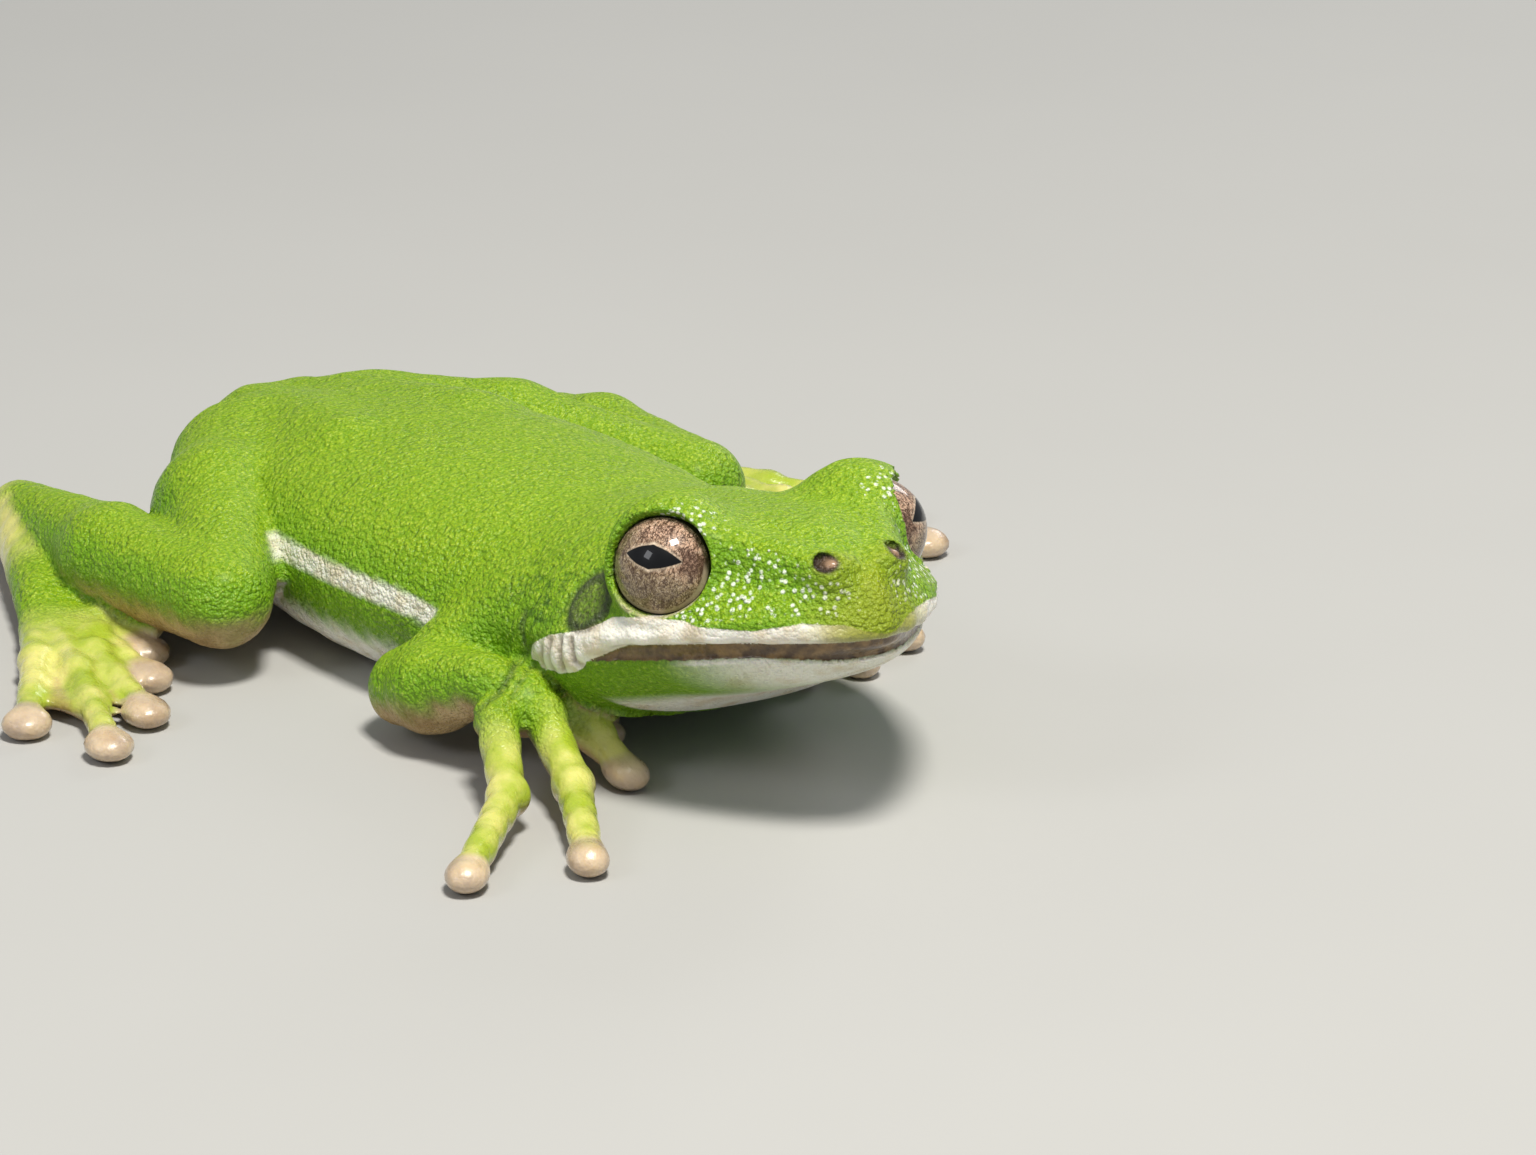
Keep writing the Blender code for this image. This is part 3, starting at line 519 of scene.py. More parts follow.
def own_distances(points):
    """The distance to each part's own forms, before the skin is drawn over all of them."""
    local = to_head(points)
    near = local[:, 0] > NECK_AT - 4.0
    full, upper, lower = (np.full(len(points), FAR) for _ in range(3))
    full[near] = measured(rough_head, local[near])
    upper[near] = upper_head(local[near], full[near])
    lower[near] = lower_jaw(local[near], full[near])
    trunk = measured(trunk_form, points)
    for ridge in HIP_RIDGES:
        trunk = smooth_min(trunk, ridge.distance(points), 1.6)
    distances = {"head": upper, "lower_jaw": lower, "trunk": trunk}
    for name, forms in LIMBS.items():
        low, high = BOXES[name]
        near = np.all((points > low - 3.0) & (points < high + 3.0), axis=1)
        distances[name] = np.full(len(points), FAR)
        if near.any():
            blend = 0.35 if name.startswith(("hand", "foot")) else 0.6
            distances[name][near] = nearest_of(forms, points[near], blend)
    return distances


def whole_skin(points):
    """The skin over the whole frog. Limbs flow into the trunk at their roots and only touch it elsewhere."""
    own = own_distances(points)
    skin = smooth_min(own["head"], own["lower_jaw"], 0.12)
    skin = smooth_min(skin, own["trunk"], 2.0)
    for names, root, reach in LIMB_ROOTS:
        limb = own[names[0]]
        for name in names[1:]:
            limb = smooth_min(limb, own[name], 0.5)
        away = np.linalg.norm(points - root, axis=1)
        skin = smooth_min(skin, limb, 0.12 + 1.8 * np.exp(-((away / reach) ** 2)))
    x, y, z = points.T
    broad = np.sin(2.3 * x + 1.4 * np.sin(1.9 * y)) * np.sin(2.1 * y + 1.2 * np.sin(2.6 * z))
    uneven = broad + np.sin(4.9 * x - 2.2 * y + 3.1 * z)
    skin = skin + UNEVEN_DEPTH * uneven * ease(own["lower_jaw"], 0.0, 0.5)
    skin = skin + pad_creases(points) + wrist_creases(points)
    return smooth_max(skin, -points[:, 2], 0.05)


def filling(cell):
    """Geometry nodes that turn a cloud of points one cell apart into one closed surface round them."""
    group = bpy.data.node_groups.new("filling", "GeometryNodeTree")
    group.interface.new_socket("Geometry", in_out="INPUT", socket_type="NodeSocketGeometry")
    group.interface.new_socket("Geometry", in_out="OUTPUT", socket_type="NodeSocketGeometry")
    steps = [
        group.nodes.new(kind)
        for kind in (
            "NodeGroupInput",
            "GeometryNodeMeshToPoints",
            "GeometryNodePointsToVolume",
            "GeometryNodeVolumeToMesh",
            "NodeGroupOutput",
        )
    ]
    steps[2].resolution_mode = "VOXEL_SIZE"
    steps[2].inputs["Voxel Size"].default_value = 0.8 * cell
    steps[2].inputs["Radius"].default_value = 0.87 * cell
    for before, after in zip(steps, steps[1:]):
        group.links.new(before.outputs[0], after.inputs[0])
    return group


def applied(piece):
    """The piece with its modifiers made part of its mesh."""
    bpy.context.view_layer.update()
    mesh = bpy.data.meshes.new_from_object(piece.evaluated_get(bpy.context.evaluated_depsgraph_get()))
    piece.modifiers.clear()
    piece.data = mesh


def largest_only(soft):
    """Drops every closed surface but the largest, such as the wall of a sealed hollow."""
    left, groups = set(soft.verts), []
    while left:
        group, edge = set(), [left.pop()]
        while edge:
            vert = edge.pop()
            group.add(vert)
            for link in vert.link_edges:
                other = link.other_vert(vert)
                if other in left:
                    left.discard(other)
                    edge.append(other)
        groups.append(group)
    groups.sort(key=len)
    for group in groups[:-1]:
        bmesh.ops.delete(soft, geom=list(group), context="VERTS")


def settle(soft, rounds, smoothing=0.5):
    """Draws every point onto the skin's surface, with a little smoothing before each round but the last."""
    for turn in range(rounds):
        if turn < rounds - 1:
            bmesh.ops.smooth_vert(
                soft, verts=soft.verts, factor=smoothing, use_axis_x=True, use_axis_y=True, use_axis_z=True
            )
        points = np.array([vert.co for vert in soft.verts])
        for _ in range(2):
            value = whole_skin(points)
            slope = np.stack(
                [(whole_skin(points + axis) - value) / STEP for axis in np.eye(3) * STEP], axis=1
            )
            steep = np.maximum(np.linalg.norm(slope, axis=1), 0.3)
            points = points - (np.clip(value / steep, -0.5, 0.5) / steep)[:, None] * slope
        points[:, 2] = np.where(points[:, 2] < FLOOR_FLAT, 0.0, points[:, 2])
        for vert, place in zip(soft.verts, points):
            vert.co = place


def fine_here(points):
    """True on the head and the right hand, which get a finer mesh."""
    ahead = ((points - EYES_MIDDLE) @ HEAD_AXES)[:, 0] > -7.4
    low, high = BOXES["hand_right"]
    return ahead | np.all((points > low - 0.5) & (points < high + 0.5), axis=1)


corners = np.array([*BOXES.values(), ([TRUNK_X[0], 0.0, 0.0], [SNOUT_REACH + 2.0, 0.0, 13.0])])
low, high = corners[:, 0].min(axis=0) - SKIN_CELL, corners[:, 1].max(axis=0) + SKIN_CELL
grid = np.meshgrid(*(np.arange(a, b, SKIN_CELL) for a, b in zip(low, high)), indexing="ij")
grid = np.stack(grid, axis=-1).reshape(-1, 3)
skin_mesh = bpy.data.meshes.new("skin")
skin_mesh.from_pydata(grid[whole_skin(grid) < 0.0].tolist(), [], [])
skin = bpy.data.objects.new("skin", skin_mesh)
bpy.context.scene.collection.objects.link(skin)
skin.modifiers.new("Fill", "NODES").node_group = filling(SKIN_CELL)
applied(skin)
soft = bmesh.new()
soft.from_mesh(skin.data)
largest_only(soft)
settle(soft, 3)
soft.to_mesh(skin.data)
soft.free()
even = skin.modifiers.new("Even", "REMESH")
even.mode, even.voxel_size = "VOXEL", SKIN_VOXEL
applied(skin)
soft = bmesh.new()
soft.from_mesh(skin.data)
largest_only(soft)
settle(soft, 3)
soft.faces.ensure_lookup_table()
middles = np.array([face.calc_center_median() for face in soft.faces])
fine = fine_here(middles)
edges = {edge for face, wanted in zip(soft.faces, fine) if wanted for edge in face.edges}
bmesh.ops.subdivide_edges(soft, edges=list(edges), cuts=1, use_grid_fill=True)
bmesh.ops.triangulate(soft, faces=[face for face in soft.faces if len(face.verts) > 4])
settle(soft, 2, 0.35)

# Skin colours
# The back is leaf green and granular, the lip and the underside cream and the pads tan. Shade is painted dark
# brown in the recess under the lip, and glints are painted pale on the wet head.
# Each colour's place is marked on the skin's points, and the material reads the marks.
# Each edge is a row of places along the head and a row of its heights there.
LIP_FOOT = (
    (-6.3, -5.4, -4.4, -3.2, -2.75, -2.45),
    (-3.3, -3.75, -3.95, -3.82, -3.66, -3.36),
)
LIP_TOP = (
    (-6.2, -4.4, -2.4, -0.9, 0.9, 2.4, 3.2, 5.0, 6.4, 7.4, 8.1),
    (-3.0, -2.45, -2.2, -1.68, -1.62, -1.82, -2.05, -2.3, -2.15, -2.35, -2.9),
)
# Spots on the head where glints are painted into the skin's colour as highlights on wet skin, and their
# strength.
PAINTED_GLINT_SPOTS = (
    ((4.2, 3.6, -0.6), (1.6, 1.6, 1.1)),
    ((6.6, 2.4, -1.3), (1.2, 1.8, 0.8)),
    ((1.7, 4.6, 1.7), (1.3, 1.4, 0.8)),
    ((2.6, 5.2, -1.6), (1.3, 1.2, 0.5)),
)
PAINTED_GLINT_STRENGTH = 1.2
STREAKED_NECK = ((-6.2, 7.0, -1.4), (2.2, 3.5, 1.7), 1.3)
STRIPE_BEHIND, STRIPE_HEIGHT = (8.5, 14.0, 27.0), (4.2, 4.7, 4.6)


def head_marks(points, own):
    """The marks on the head, found in its own frame: lips, painted shade, eardrum, lids, nostrils and painted
    glints.
    """
    local = to_head(points)
    x, _, z = local.T
    on_head = 1.0 - ease(np.minimum(own["head"], own["lower_jaw"]), 0.1, 0.9)
    above_lip, above_foot = z - lip_height(x), z - gape_foot(x)
    of_mouth = on_head * ease(x, MOUTH_CORNER - 0.1, MOUTH_CORNER + 0.2)
    above_stripe = np.where(x > LIP_FOOT[0][-1], above_lip, z - np.interp(x, *LIP_FOOT))
    below_green = 1.0 - ease(z - np.interp(x, *LIP_TOP), -0.14, 0.10)
    jaw = (1.0 - ease(own["lower_jaw"], 0.05, 0.4)) * (1.0 - ease(above_foot, -0.1, 0.1))
    jaw_cream = jaw * np.clip(0.9 * ease(x, 0.2, 4.6) + ease(-z, 4.95, 5.6), 0.0, 1.0)
    jaw_line = of_mouth * (1.0 - ease(np.abs(above_foot + 0.12), 0.06, 0.18)) * ease(x, 0.8, 2.4)
    out, beside, ball = from_eye(local)
    drum = eardrum_distance(local)
    drum_edge = on_head * np.exp(-(((drum - 0.95) / 0.26) ** 2))
    shade = drum_edge + 4.0 * fold_depth(local) + 5.0 * wrist_creases(points)
    rim = np.exp(-(((beside - EYE_OPENING - 0.14) / 0.10) ** 2)) * ease(-z, 0.5, 1.4)
    pit, flap = nostril(local)
    return {
        "lip": on_head * below_green * ease(above_stripe, -0.15, 0.0) * ease(x, -6.3, -5.9),
        # Painted shade: the band under the lip, in the recess below its overhang.
        "under_lip_shade": of_mouth * (1.0 - ease(above_lip, -0.12, 0.02)) * ease(above_foot, -0.05, 0.05),
        "cream": np.maximum(jaw_cream, jaw_line),
        "drum": on_head * (1.0 - ease(drum, 0.95, 1.35)),
        "painted_glint_patches": np.clip(sum(swell(local, *spot, PAINTED_GLINT_STRENGTH) for spot in PAINTED_GLINT_SPOTS), 0.0, 1.0),
        "neck": swell(local, *STREAKED_NECK),
        "shade": np.clip(shade, 0.0, 1.0),
        "lid": on_head * (1.0 - ease(ball, EYE_RADIUS + 0.01, EYE_RADIUS + 0.10)) * ease(out, 0.6, 0.9),
        "rim": on_head * rim * ease(out, 0.6, 0.9),
        "nostril": np.clip(2.2 * pit, 0.0, 1.0),
        "flap": flap,
        "tip": on_head * ease(x, 5.6, 7.9),
    }


def body_cream(points, normals, own):
    """The pale belly, and the stripe along the flank."""
    on_trunk = 1.0 - ease(own["trunk"], 0.1, 0.8)
    from_spine = np.abs(points[:, 1] - points[:, 0] * math.tan(BODY_BEND))
    height = np.interp(-points[:, 0], STRIPE_BEHIND, STRIPE_HEIGHT)
    stripe = (1.0 - ease(np.abs(points[:, 2] - height), 0.32, 0.5)) * ease(from_spine, 4.0, 5.0)
    stripe = stripe * ease(points[:, 0], -27.0, -21.0) * ease(-points[:, 0], 9.0, 11.0)
    return on_trunk * np.maximum(ease(-normals[:, 2], 0.15, 0.6), 0.9 * stripe)


def limb_marks(points, normals, own):
    """The marks on the limbs: their undersides, and the hands and feet with their digits, pads and webs."""
    limb = np.min([own[name] for name in LIMBS], axis=0)
    hand = np.min([own[name] for name in LIMBS if name.startswith(("hand", "foot"))], axis=0)
    ends = [*WRISTS, from_pelvis(-1, *SOLE), from_pelvis(1, *SOLE)]
    reach = np.min([np.linalg.norm(points - end, axis=1) for end in ends], axis=0)
    pad = np.min([disc.distance(points) for disc in PADS], axis=0)
    webs = [form for forms in LEGS.values() for form in forms if isinstance(form, Web)]
    toes = [form for forms in LEGS.values() for form in forms if not isinstance(form, Web)]
    web = np.min([form.distance(points) for form in webs], axis=0)
    toe = np.min([form.distance(points) for form in toes], axis=0)
    return {
        "under": (1.0 - ease(limb, 0.05, 0.4)) * ease(-normals[:, 2], -0.1, 0.55),
        "digit": (1.0 - ease(hand, 0.05, 0.35)) * ease(reach, 1.6, 5.5),
        "pad": 1.0 - ease(pad, 0.02, 0.3),
        "web": (1.0 - ease(web, 0.05, 0.2)) * ease(toe, 0.1, 0.4),
    }


def marks(points, normals):
    """How much each point of the skin belongs to each coloured place, from 0 to 1."""
    own = own_distances(points)
    found = {**head_marks(points, own), **limb_marks(points, normals, own)}
    found["cream"] = np.clip(np.maximum(found["cream"], body_cream(points, normals, own)), 0.0, 1.0)
    found["top"] = ease(normals[:, 2], 0.35, 0.95)
    return found


class Strand:
    """One output of a material's nodes. Maths on it is written as plain expressions and adds Math nodes."""

    def __init__(self, socket):
        self.socket = socket

    def maths(self, operation, *terms):
        return node(self.socket.id_data, "ShaderNodeMath", {"operation": operation}, dict(enumerate(terms)))

    def __add__(self, other):
        return self.maths("ADD", self, other)

    def __sub__(self, other):
        return self.maths("SUBTRACT", self, other)

    def __rsub__(self, other):
        return self.maths("SUBTRACT", other, self)

    def __mul__(self, other):
        return self.maths("MULTIPLY", self, other)

    def __truediv__(self, other):
        return self.maths("DIVIDE", self, other)

    def __pow__(self, other):
        return self.maths("POWER", self, other)

    def __abs__(self):
        return self.maths("ABSOLUTE", self)

    __radd__, __rmul__ = __add__, __mul__

    def up_to(self, most):
        """The value, or most where the value is above it."""
        return self.maths("MINIMUM", self, most)

    def over(self, low, high):
        """0 where the value is below low, 1 above high and smooth between."""
        return node(
            self.socket.id_data,
            "ShaderNodeMapRange",
            {"interpolation_type": "SMOOTHSTEP"},
            {"Value": self, "From Min": low, "From Max": high},
        )


def node(tree, kind, settings, sockets, output=0):
    """A new node with its settings and its sockets' values or links, as the strand of one of its outputs."""
    made = tree.nodes.new(kind)
    for name, value in settings.items():
        setattr(made, name, value)
    for key, value in sockets.items():
        if isinstance(value, Strand):
            tree.links.new(value.socket, made.inputs[key])
        else:
            made.inputs[key].default_value = value
    return Strand(made.outputs[output])


def colour(red, green, blue):
    return (red, green, blue, 1.0)


LEAF_GREEN, LIT_GREEN = colour(0.240, 0.460, 0.006), colour(0.400, 0.550, 0.008)
GRANULE_VALLEY_SHADE, NECK_FURROW_SHADE = colour(0.120, 0.290, 0.005), colour(0.060, 0.150, 0.004)
LIGHT_FLECK_AND_HIGHLIGHT, DARK_FLECK = colour(0.680, 0.840, 0.160), colour(0.150, 0.330, 0.004)
GLINT, SNOUT_TIP = colour(0.86, 0.94, 0.78), colour(0.36, 0.32, 0.020)
DRUM_GREY, SHADED_GREEN = colour(0.110, 0.150, 0.032), colour(0.045, 0.060, 0.028)
CREAM, BRIGHT_CREAM = colour(0.80, 0.71, 0.55), colour(0.97, 0.95, 0.85)
FLESH, BRIGHT_FLESH = colour(0.34, 0.19, 0.085), colour(0.64, 0.44, 0.23)
FINGER_GREEN, FINGER_YELLOW = colour(0.42, 0.52, 0.04), colour(0.82, 0.76, 0.24)
UNDER_LIP_SHADE_DARK, UNDER_LIP_SHADE_BROWN = colour(0.070, 0.035, 0.010), colour(0.25, 0.15, 0.050)
LIP_FRONT, LIP_FOLD_SHADE = colour(0.50, 0.36, 0.14), colour(0.24, 0.16, 0.08)
LID_FOOT, LID_EDGE = colour(0.60, 0.50, 0.36), colour(0.035, 0.035, 0.014)
NOSTRIL_DARK, NOSTRIL_FLAP = colour(0.035, 0.022, 0.014), colour(0.42, 0.26, 0.16)
GRANULES, SMALL_GRANULES, GLINTS, FLECKS = 4600.0, 9500.0, 3400.0, 6200.0
GRANULE_SOFTNESS, BUMP_DEPTH = 0.25, 0.00006


def layered(tree, below, above, amount):
    """One colour laid over another by an amount."""
    return node(tree, "ShaderNodeMix", {"data_type": "RGBA"}, {0: amount, 6: below, 7: above}, 2)


def finish(name, constants):
    """A new material, its node tree and its Principled shader, with the shader's even values set."""
    material = bpy.data.materials.new(name)
    material.use_nodes = True
    shader = material.node_tree.nodes["Principled BSDF"]
    for socket, value in constants.items():
        shader.inputs[socket].default_value = value
    return material, material.node_tree, shader


def marked(tree, name):
    """One of the marks on the skin's points."""
    return node(tree, "ShaderNodeAttribute", {"attribute_name": name}, {}, 2)


def grain(tree, place, scale, detail, rough=0.55):
    """A cloudy pattern from 0 to 1, with scale waves to a unit of place."""
    sockets = {"Vector": place, "Scale": scale, "Detail": detail, "Roughness": rough}
    return node(tree, "ShaderNodeTexNoise", {}, sockets)


def domed(tree, place, scale):
    """The distance to the middle of the nearest granule, with scale granules to a unit of place."""
    sockets = {"Vector": place, "Scale": scale, "Smoothness": GRANULE_SOFTNESS}
    return node(tree, "ShaderNodeTexVoronoi", {"feature": "SMOOTH_F1"}, sockets)


wet_skin, tree, shader = finish(
    "moist green skin",
    {
        "Subsurface Weight": 0.12,
        "Subsurface Radius": (1.0, 0.7, 0.25),
        "Subsurface Scale": 0.0004,
        "Coat Roughness": 0.25,
        "Coat IOR": 1.4,
        "IOR": 1.5,
        "Specular IOR Level": 0.35,
    },
)
place = node(tree, "ShaderNodeTexCoord", {}, {}, 3)
lip, under_lip_shade, cream, under = (marked(tree, name) for name in ("lip", "under_lip_shade", "cream", "under"))
digits, pad, web, drum = (marked(tree, name) for name in ("digit", "pad", "web", "drum"))
shade, lid, rim, nostril_pit = (marked(tree, name) for name in ("shade", "lid", "rim", "nostril"))
flap, top, tip, neck, painted_glint_patches = (marked(tree, name) for name in ("flap", "top", "tip", "neck", "painted_glint_patches"))

clouds = grain(tree, place, 170.0, 3.0)
fleck = grain(tree, place, FLECKS, 2.0)
granules = domed(tree, place, GRANULES)
small_granules = domed(tree, place, SMALL_GRANULES)
raised = 1.0 - granules.over(0.05, 0.65)
raised_small = 1.0 - small_granules.over(0.05, 0.65)
domes, small_domes = 1.0 - granules * granules * 2.4, 1.0 - small_granules * small_granules * 2.4
drawn_down = node(tree, "ShaderNodeMapping", {}, {"Vector": place, "Scale": (1.0, 1.0, 0.28)})
streaks = grain(tree, drawn_down, 2600.0, 3.0)

green = layered(tree, LEAF_GREEN, LIT_GREEN, (top * 0.75 + clouds * 0.6).over(0.25, 1.0))
# Painted shade: the hollows between granules are painted darker green.
green = layered(tree, green, GRANULE_VALLEY_SHADE, (1.0 - raised_small) * 0.45 + (1.0 - raised) * 0.30)
# Painted shade: the low streaks of the neck's wrinkled skin are painted darker.
green = layered(tree, green, NECK_FURROW_SHADE, (1.0 - streaks.over(0.40, 0.53)) * neck * 0.9)
# Light flecks on the granule tops: partly random tone, and partly a painted highlight on those tops.
green = layered(tree, green, LIGHT_FLECK_AND_HIGHLIGHT, raised * fleck.over(0.45, 0.70) * 0.4)
green = layered(tree, green, DARK_FLECK, (1.0 - fleck.over(0.34, 0.50)) * 0.45)
# Painted glints: in patches, mostly on the head, small round spots are painted near-white as highlights of
# wet skin.
painted_glints = node(tree, "ShaderNodeTexVoronoi", {"feature": "F1"}, {"Vector": place, "Scale": GLINTS})
glint_places = (painted_glint_patches + (clouds - 0.5) * 0.6 + (fleck - 0.5) * 1.6).over(0.32, 0.62)
painted_glints = (1.0 - painted_glints.over(0.20, 0.42)) * glint_places
green = layered(tree, green, GLINT, painted_glints * 0.9)
green = layered(tree, green, SNOUT_TIP, tip * 0.45)
green = layered(tree, green, DRUM_GREY, drum * (0.45 + (1.0 - fleck.over(0.40, 0.60)) * 0.5))
green = layered(tree, green, SHADED_GREEN, shade * 0.85)

pale = layered(tree, CREAM, BRIGHT_CREAM, grain(tree, place, 900.0, 4.0).over(0.3, 0.55))
flesh = layered(tree, FLESH, BRIGHT_FLESH, grain(tree, place, 700.0, 4.0).over(0.3, 0.7))
finger = layered(tree, FINGER_GREEN, FINGER_YELLOW, grain(tree, place, 420.0, 3.0).over(0.35, 0.65))
brown = layered(tree, UNDER_LIP_SHADE_DARK, UNDER_LIP_SHADE_BROWN, grain(tree, place, 1800.0, 4.0).over(0.34, 0.70))

tint = layered(tree, green, finger, digits * 0.9)
tint = layered(tree, tint, flesh, under * 0.9)
tint = layered(tree, tint, flesh, web * 0.6)
tint = layered(tree, tint, layered(tree, flesh, pale, 0.25), pad)
tint = layered(tree, tint, pale, cream)
lip_tint = layered(tree, pale, LIP_FRONT, tip * tip)
lip_edge = (lip + (fleck - 0.5) * 0.5).over(0.30, 0.70)
tint = layered(tree, tint, lip_tint, lip_edge * (1.0 - tip * tip * 0.7))
# Painted shade in the folds at the corner of the mouth, where they cross the pale lip.
tint = layered(tree, tint, LIP_FOLD_SHADE, shade * lip * 0.8)
# Painted shade: the recess under the overhanging lip is painted dark brown.
tint = layered(tree, tint, brown, (under_lip_shade + (fleck - 0.5) * 0.3).over(0.3, 0.7))
tint = layered(tree, tint, LID_FOOT, rim * 0.75)
tint = layered(tree, tint, LID_EDGE, lid)
tint = layered(tree, tint, NOSTRIL_DARK, nostril_pit)
tint = layered(tree, tint, NOSTRIL_FLAP, flap)
tree.links.new(tint.socket, shader.inputs["Base Color"])

smooth_parts = (digits + pad + lip * 0.7 + under_lip_shade + flap).over(0.0, 1.0)
granular = 1.0 - smooth_parts * 0.8
height = (domes * 0.8 + small_domes * 0.4) * granular + painted_glints * 0.5
height = height + streaks * neck * 0.9 + grain(tree, place, 5200.0, 3.0) * 0.15
wet = grain(tree, place, 330.0, 2.0).over(0.40, 0.60)
rough = 0.38 - wet * 0.16 + (1.0 - raised) * 0.18 - smooth_parts * 0.10 - painted_glints * 0.1
tree.links.new(rough.socket, shader.inputs["Roughness"])
tree.links.new((0.06 + smooth_parts * 0.94).socket, shader.inputs["Coat Weight"])
bump = node(tree, "ShaderNodeBump", {}, {"Strength": 1.0, "Distance": BUMP_DEPTH, "Height": height})
tree.links.new(bump.socket, shader.inputs["Normal"])

# The right eye's solid shows where the pose's millimetres lie in the frame.
low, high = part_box("eye_right")
turn = Matrix.Rotation(-BODY_BEND, 3, "Z")
right_side = np.array([1.0, -1.0, 1.0])
DOME_DEPTH = 1.3
dome_middle = EYES_MIDDLE + HEAD_AXES @ ((EYE_AT + (EYE_RADIUS - DOME_DEPTH) * EYE_AXIS) * right_side)
shift = (Vector(low) + Vector(high)) / 2.0 * 1000.0 - turn @ Vector(dome_middle)
to_frame = Matrix.Scale(0.001, 4) @ Matrix.Translation(shift) @ turn.to_4x4()


def put(piece, nodes, material):
    """Brings a piece from the pose's millimetres into the frame, and lets it stand for its CAD nodes."""
    piece.data.transform(to_frame)
    piece.data.shade_smooth()
    piece.data.materials.clear()
    piece.data.materials.append(material)
    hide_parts(*nodes)
    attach(piece, "root")


soft.normal_update()
points = np.array([vert.co for vert in soft.verts])
normals = np.array([vert.normal for vert in soft.verts])
found = marks(points, normals)
soft.to_mesh(skin.data)
soft.free()
for name, values in found.items():
    layer = skin.data.attributes.new(name, "FLOAT", "POINT")
    layer.data.foreach_set("value", values.astype(np.float32))
flesh_nodes = [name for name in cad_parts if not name.startswith("eye")]
put(skin, flesh_nodes, wet_skin)

# Eyes
# Each eyeball is wet and clear in front of a bronze iris with fine dark lines and a level, pointed pupil.
# It sits in its lids, and its foot is paler, where the edge of the see-through lower lid shows.
CORNEA_RISE, CORNEA_HALF_WIDTH = 0.10, 0.8
PUPIL_UP, PUPIL_AHEAD, PUPIL_HALF_LENGTH, PUPIL_HALF_HEIGHT = 0.12, 0.04, 0.51, 0.183
NOTCH_DEPTH, NOTCH_NARROWNESS = 0.022, 420.0
IRIS_AHEAD, IRIS_LONG = 0.035, 1.055
BRONZE, COPPER, BRIGHT_SPECK = colour(0.35, 0.26, 0.150), colour(0.64, 0.41, 0.29), colour(0.88, 0.73, 0.58)
BLOTCH, FRONT_STREAK = colour(0.120, 0.070, 0.045), colour(0.07, 0.035, 0.024)
DARK_LINE, THIN_LINE = colour(0.055, 0.025, 0.016), colour(0.085, 0.045, 0.028)
PUPIL_RING, PUPIL_BLACK = colour(0.80, 0.66, 0.50), colour(0.003, 0.003, 0.004)
IRIS_FOOT, IRIS_EDGE = colour(0.46, 0.37, 0.26), colour(0.012, 0.008, 0.005)


def eyeball(hand, side, material):
    """One eyeball with a raised cornea, and each point marked with where it lies across the iris."""
    mirror = np.array([1.0, side, 1.0])
    out = HEAD_AXES @ (EYE_AXIS * mirror)
    across = np.cross([0.0, 0.0, 1.0], out) * side
    across /= np.linalg.norm(across)
    up = np.cross(out, across) * side
    middle = EYES_MIDDLE + HEAD_AXES @ (EYE_AT * mirror)
    axes = Matrix(np.stack([across * side, up, out], axis=1).tolist()).to_4x4()
    ball = bmesh.new()
    bmesh.ops.create_uvsphere(ball, u_segments=128, v_segments=96, radius=EYE_RADIUS)
    look = ball.verts.layers.float_vector.new("look")
    for vert in ball.verts:
        where = vert.co / EYE_RADIUS
        vert[look] = (-where.x * side, where.y, where.z)
        beside = math.hypot(where.x, where.y)
        if where.z > 0.0:
            vert.co *= 1.0 + CORNEA_RISE / EYE_RADIUS * max(0.0, 1.0 - (beside / CORNEA_HALF_WIDTH) ** 2) ** 2
    bmesh.ops.transform(ball, matrix=Matrix.Translation(Vector(middle)) @ axes, verts=ball.verts)
    mesh = bpy.data.meshes.new(f"eyeball_{hand}")
    ball.to_mesh(mesh)
    ball.free()
    eye = bpy.data.objects.new(f"eyeball_{hand}", mesh)
    bpy.context.scene.collection.objects.link(eye)
    put(eye, [f"eye_{hand}"], material)


iris, tree, shader = finish(
    "bronze iris under a clear cornea",
    {"Coat Weight": 1.0, "Coat Roughness": 0.03, "Coat IOR": 1.38, "Specular IOR Level": 0.15},
)
look = node(tree, "ShaderNodeAttribute", {"attribute_name": "look"}, {}, 1)
parts = node(tree, "ShaderNodeSeparateXYZ", {}, {"Vector": look})
across, up = parts, Strand(parts.socket.node.outputs[1])
middle = up - PUPIL_UP
aside = across - PUPIL_AHEAD
bow = (1.0 - (aside * aside / PUPIL_HALF_LENGTH**2).up_to(1.0)) ** 1.1
notch = (aside * aside * NOTCH_NARROWNESS + 1.0) ** -1.0 * NOTCH_DEPTH
to_pupil = (abs(middle) - notch) - bow * PUPIL_HALF_HEIGHT
beyond = abs(aside).over(PUPIL_HALF_LENGTH - 0.02, PUPIL_HALF_LENGTH)
to_pupil = to_pupil + beyond * 0.1
iris_across = (across - IRIS_AHEAD) / IRIS_LONG
spread = (iris_across * iris_across + up * up) ** 0.5
crazed = node(tree, "ShaderNodeMapping", {}, {"Vector": look, "Scale": (1.5, 0.8, 1.0)})
speckle = grain(tree, look, 26.0, 5.0, 0.7)
worm = grain(tree, crazed, 8.5, 2.5, 0.5) - 0.5
fine_worm = grain(tree, crazed, 18.0, 2.0, 0.5) - 0.5
patches = grain(tree, look, 3.0, 3.0)
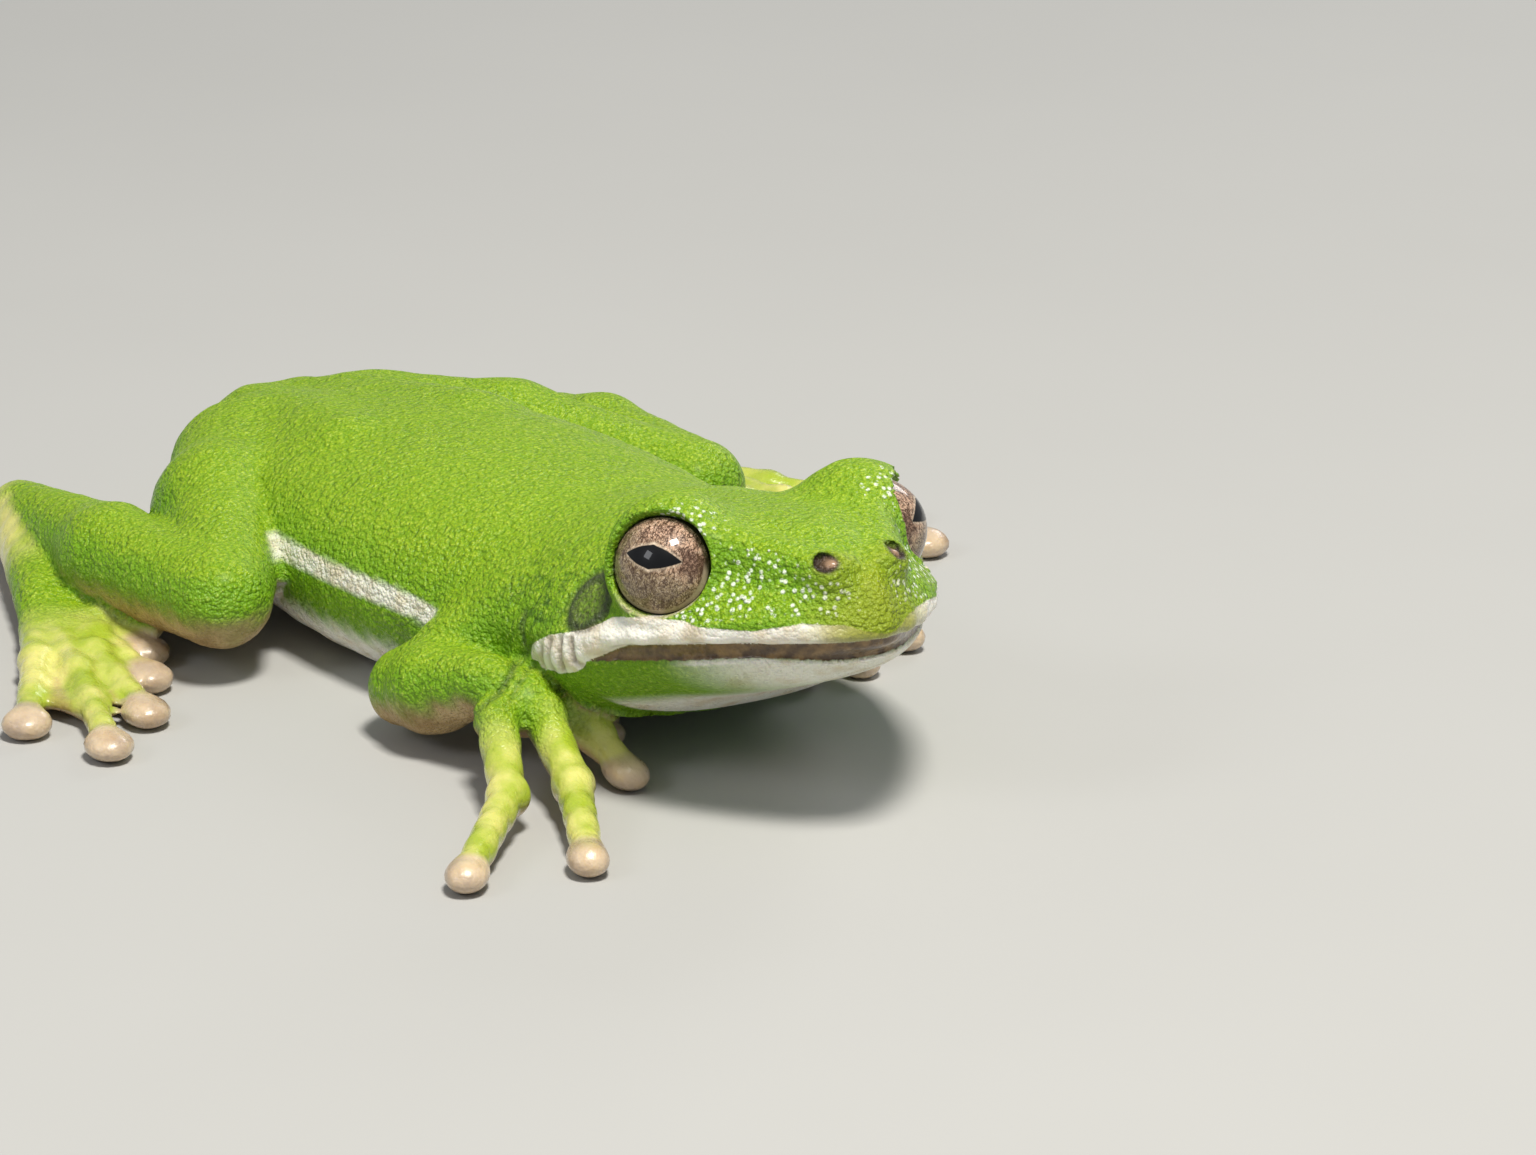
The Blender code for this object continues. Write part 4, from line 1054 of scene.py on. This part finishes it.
# Copper in random patches, and a painted sheen: the iris is painted lighter copper towards its top and one
# side.
copper_and_sheen = (up * 0.8 + across * 0.45 + (patches - 0.5) * 1.2).over(-0.25, 0.55)
bronze = layered(tree, BRONZE, COPPER, copper_and_sheen)
bronze = layered(tree, bronze, BRIGHT_SPECK, speckle.over(0.50, 0.66) * 0.7)
bronze = layered(tree, bronze, BLOTCH, grain(tree, crazed, 5.5, 4.0, 0.65).over(0.50, 0.64) * 0.65)
bronze = layered(tree, bronze, DARK_LINE, (1.0 - abs(worm).over(0.010, 0.055)) * (0.80 + copper_and_sheen * 0.20))
bronze = layered(tree, bronze, THIN_LINE, (1.0 - abs(fine_worm).over(0.0, 0.09)) * 0.75)
streak = (1.0 - (middle * middle).over(0.004, 0.070)) * aside.over(0.36, 0.56)
bronze = layered(tree, bronze, FRONT_STREAK, streak * (0.35 + speckle.over(0.35, 0.6) * 0.6))
ring = 1.0 - (to_pupil - 0.010).over(0.0, 0.060)
bronze = layered(tree, bronze, PUPIL_RING, ring * (0.2 + notch * 24.0 + speckle.over(0.4, 0.6) * 0.3))
bronze = layered(tree, bronze, PUPIL_BLACK, 1.0 - to_pupil.over(-0.010, 0.008))
foot = spread.over(0.735, 0.755) * (across * 0.4 - up).over(0.1, 0.35)
bronze = layered(tree, bronze, IRIS_FOOT, foot * 0.8)
bronze = layered(tree, bronze, IRIS_EDGE, spread.over(0.790, 0.810))
tree.links.new(bronze.socket, shader.inputs["Base Color"])
tree.links.new((0.42 - copper_and_sheen * 0.1).socket, shader.inputs["Roughness"])
eyeball("right", -1.0, iris)
eyeball("left", 1.0, iris)

# Studio
# A plain pale floor under soft light from above, with three lamps round the frog's head.
# The camera looks at the right eye from ahead and a little above, as the frog was seen.
PAPER, BRIGHT_PAPER, SKY = colour(0.46, 0.46, 0.45), colour(0.49, 0.49, 0.48), colour(0.80, 0.84, 0.88)
floor_shape = bmesh.new()
bmesh.ops.create_grid(floor_shape, x_segments=1, y_segments=1, size=2.0)
floor_mesh = bpy.data.meshes.new("floor")
floor_shape.to_mesh(floor_mesh)
floor_shape.free()
floor = bpy.data.objects.new("floor", floor_mesh)
bpy.context.scene.collection.objects.link(floor)
paper, tree, shader = finish("pale floor", {"Roughness": 0.8, "Specular IOR Level": 0.2})
floor_place = node(tree, "ShaderNodeTexCoord", {}, {}, 3)
paper_tint = layered(tree, PAPER, BRIGHT_PAPER, grain(tree, floor_place, 30.0, 3.0))
tree.links.new(paper_tint.socket, shader.inputs["Base Color"])
floor.data.materials.append(paper)

world = bpy.data.worlds.new("studio")
bpy.context.scene.world = world
world.use_nodes = True
world.node_tree.nodes["Background"].inputs["Color"].default_value = SKY
world.node_tree.nodes["Background"].inputs["Strength"].default_value = 0.30

CAMERA_AZIMUTH, CAMERA_RISE, CAMERA_AWAY = math.radians(32.0), math.radians(20.0), 0.246
flat = math.cos(CAMERA_RISE)
back = Vector((math.cos(CAMERA_AZIMUTH) * flat, -math.sin(CAMERA_AZIMUTH) * flat, math.sin(CAMERA_RISE)))
back = turn @ back
right = turn @ Vector((math.sin(CAMERA_AZIMUTH), math.cos(CAMERA_AZIMUTH), 0.0))
up_way = back.cross(right)
near_eye = to_frame @ Vector(EYES_MIDDLE + HEAD_AXES @ (EYE_AT * right_side))
aim = near_eye + 0.00363 * right - 0.0004 * up_way
camera = bpy.data.objects.new("camera", bpy.data.cameras.new("camera"))
bpy.context.scene.collection.objects.link(camera)
camera.data.lens, camera.data.sensor_width = 150.0, 36.0
camera.data.clip_start = 0.01
camera.location = aim + CAMERA_AWAY * back
camera.rotation_euler = back.to_track_quat("Z", "Y").to_euler()
bpy.context.scene.camera = camera


def lamp(name, toward, size, power, tint):
    """A square soft lamp that looks at the frog from the right, up and back amounts given."""
    light = bpy.data.lights.new(name, "AREA")
    light.size, light.energy, light.color = size, power, tint
    holder = bpy.data.objects.new(name, light)
    bpy.context.scene.collection.objects.link(holder)
    way = right * toward[0] + Vector((0.0, 0.0, 1.0)) * toward[1] + back * toward[2]
    holder.location = near_eye + way
    holder.rotation_euler = way.to_track_quat("Z", "Y").to_euler()


lamp("key", (0.04, 0.28, 0.10), 0.07, 1.35, (1.0, 0.96, 0.88))
lamp("fill", (-0.26, 0.16, 0.16), 0.10, 0.16, (0.95, 0.97, 1.0))
lamp("rim", (0.12, 0.22, -0.26), 0.10, 0.14, (1.0, 1.0, 1.0))
bpy.context.scene.view_settings.view_transform = "Standard"
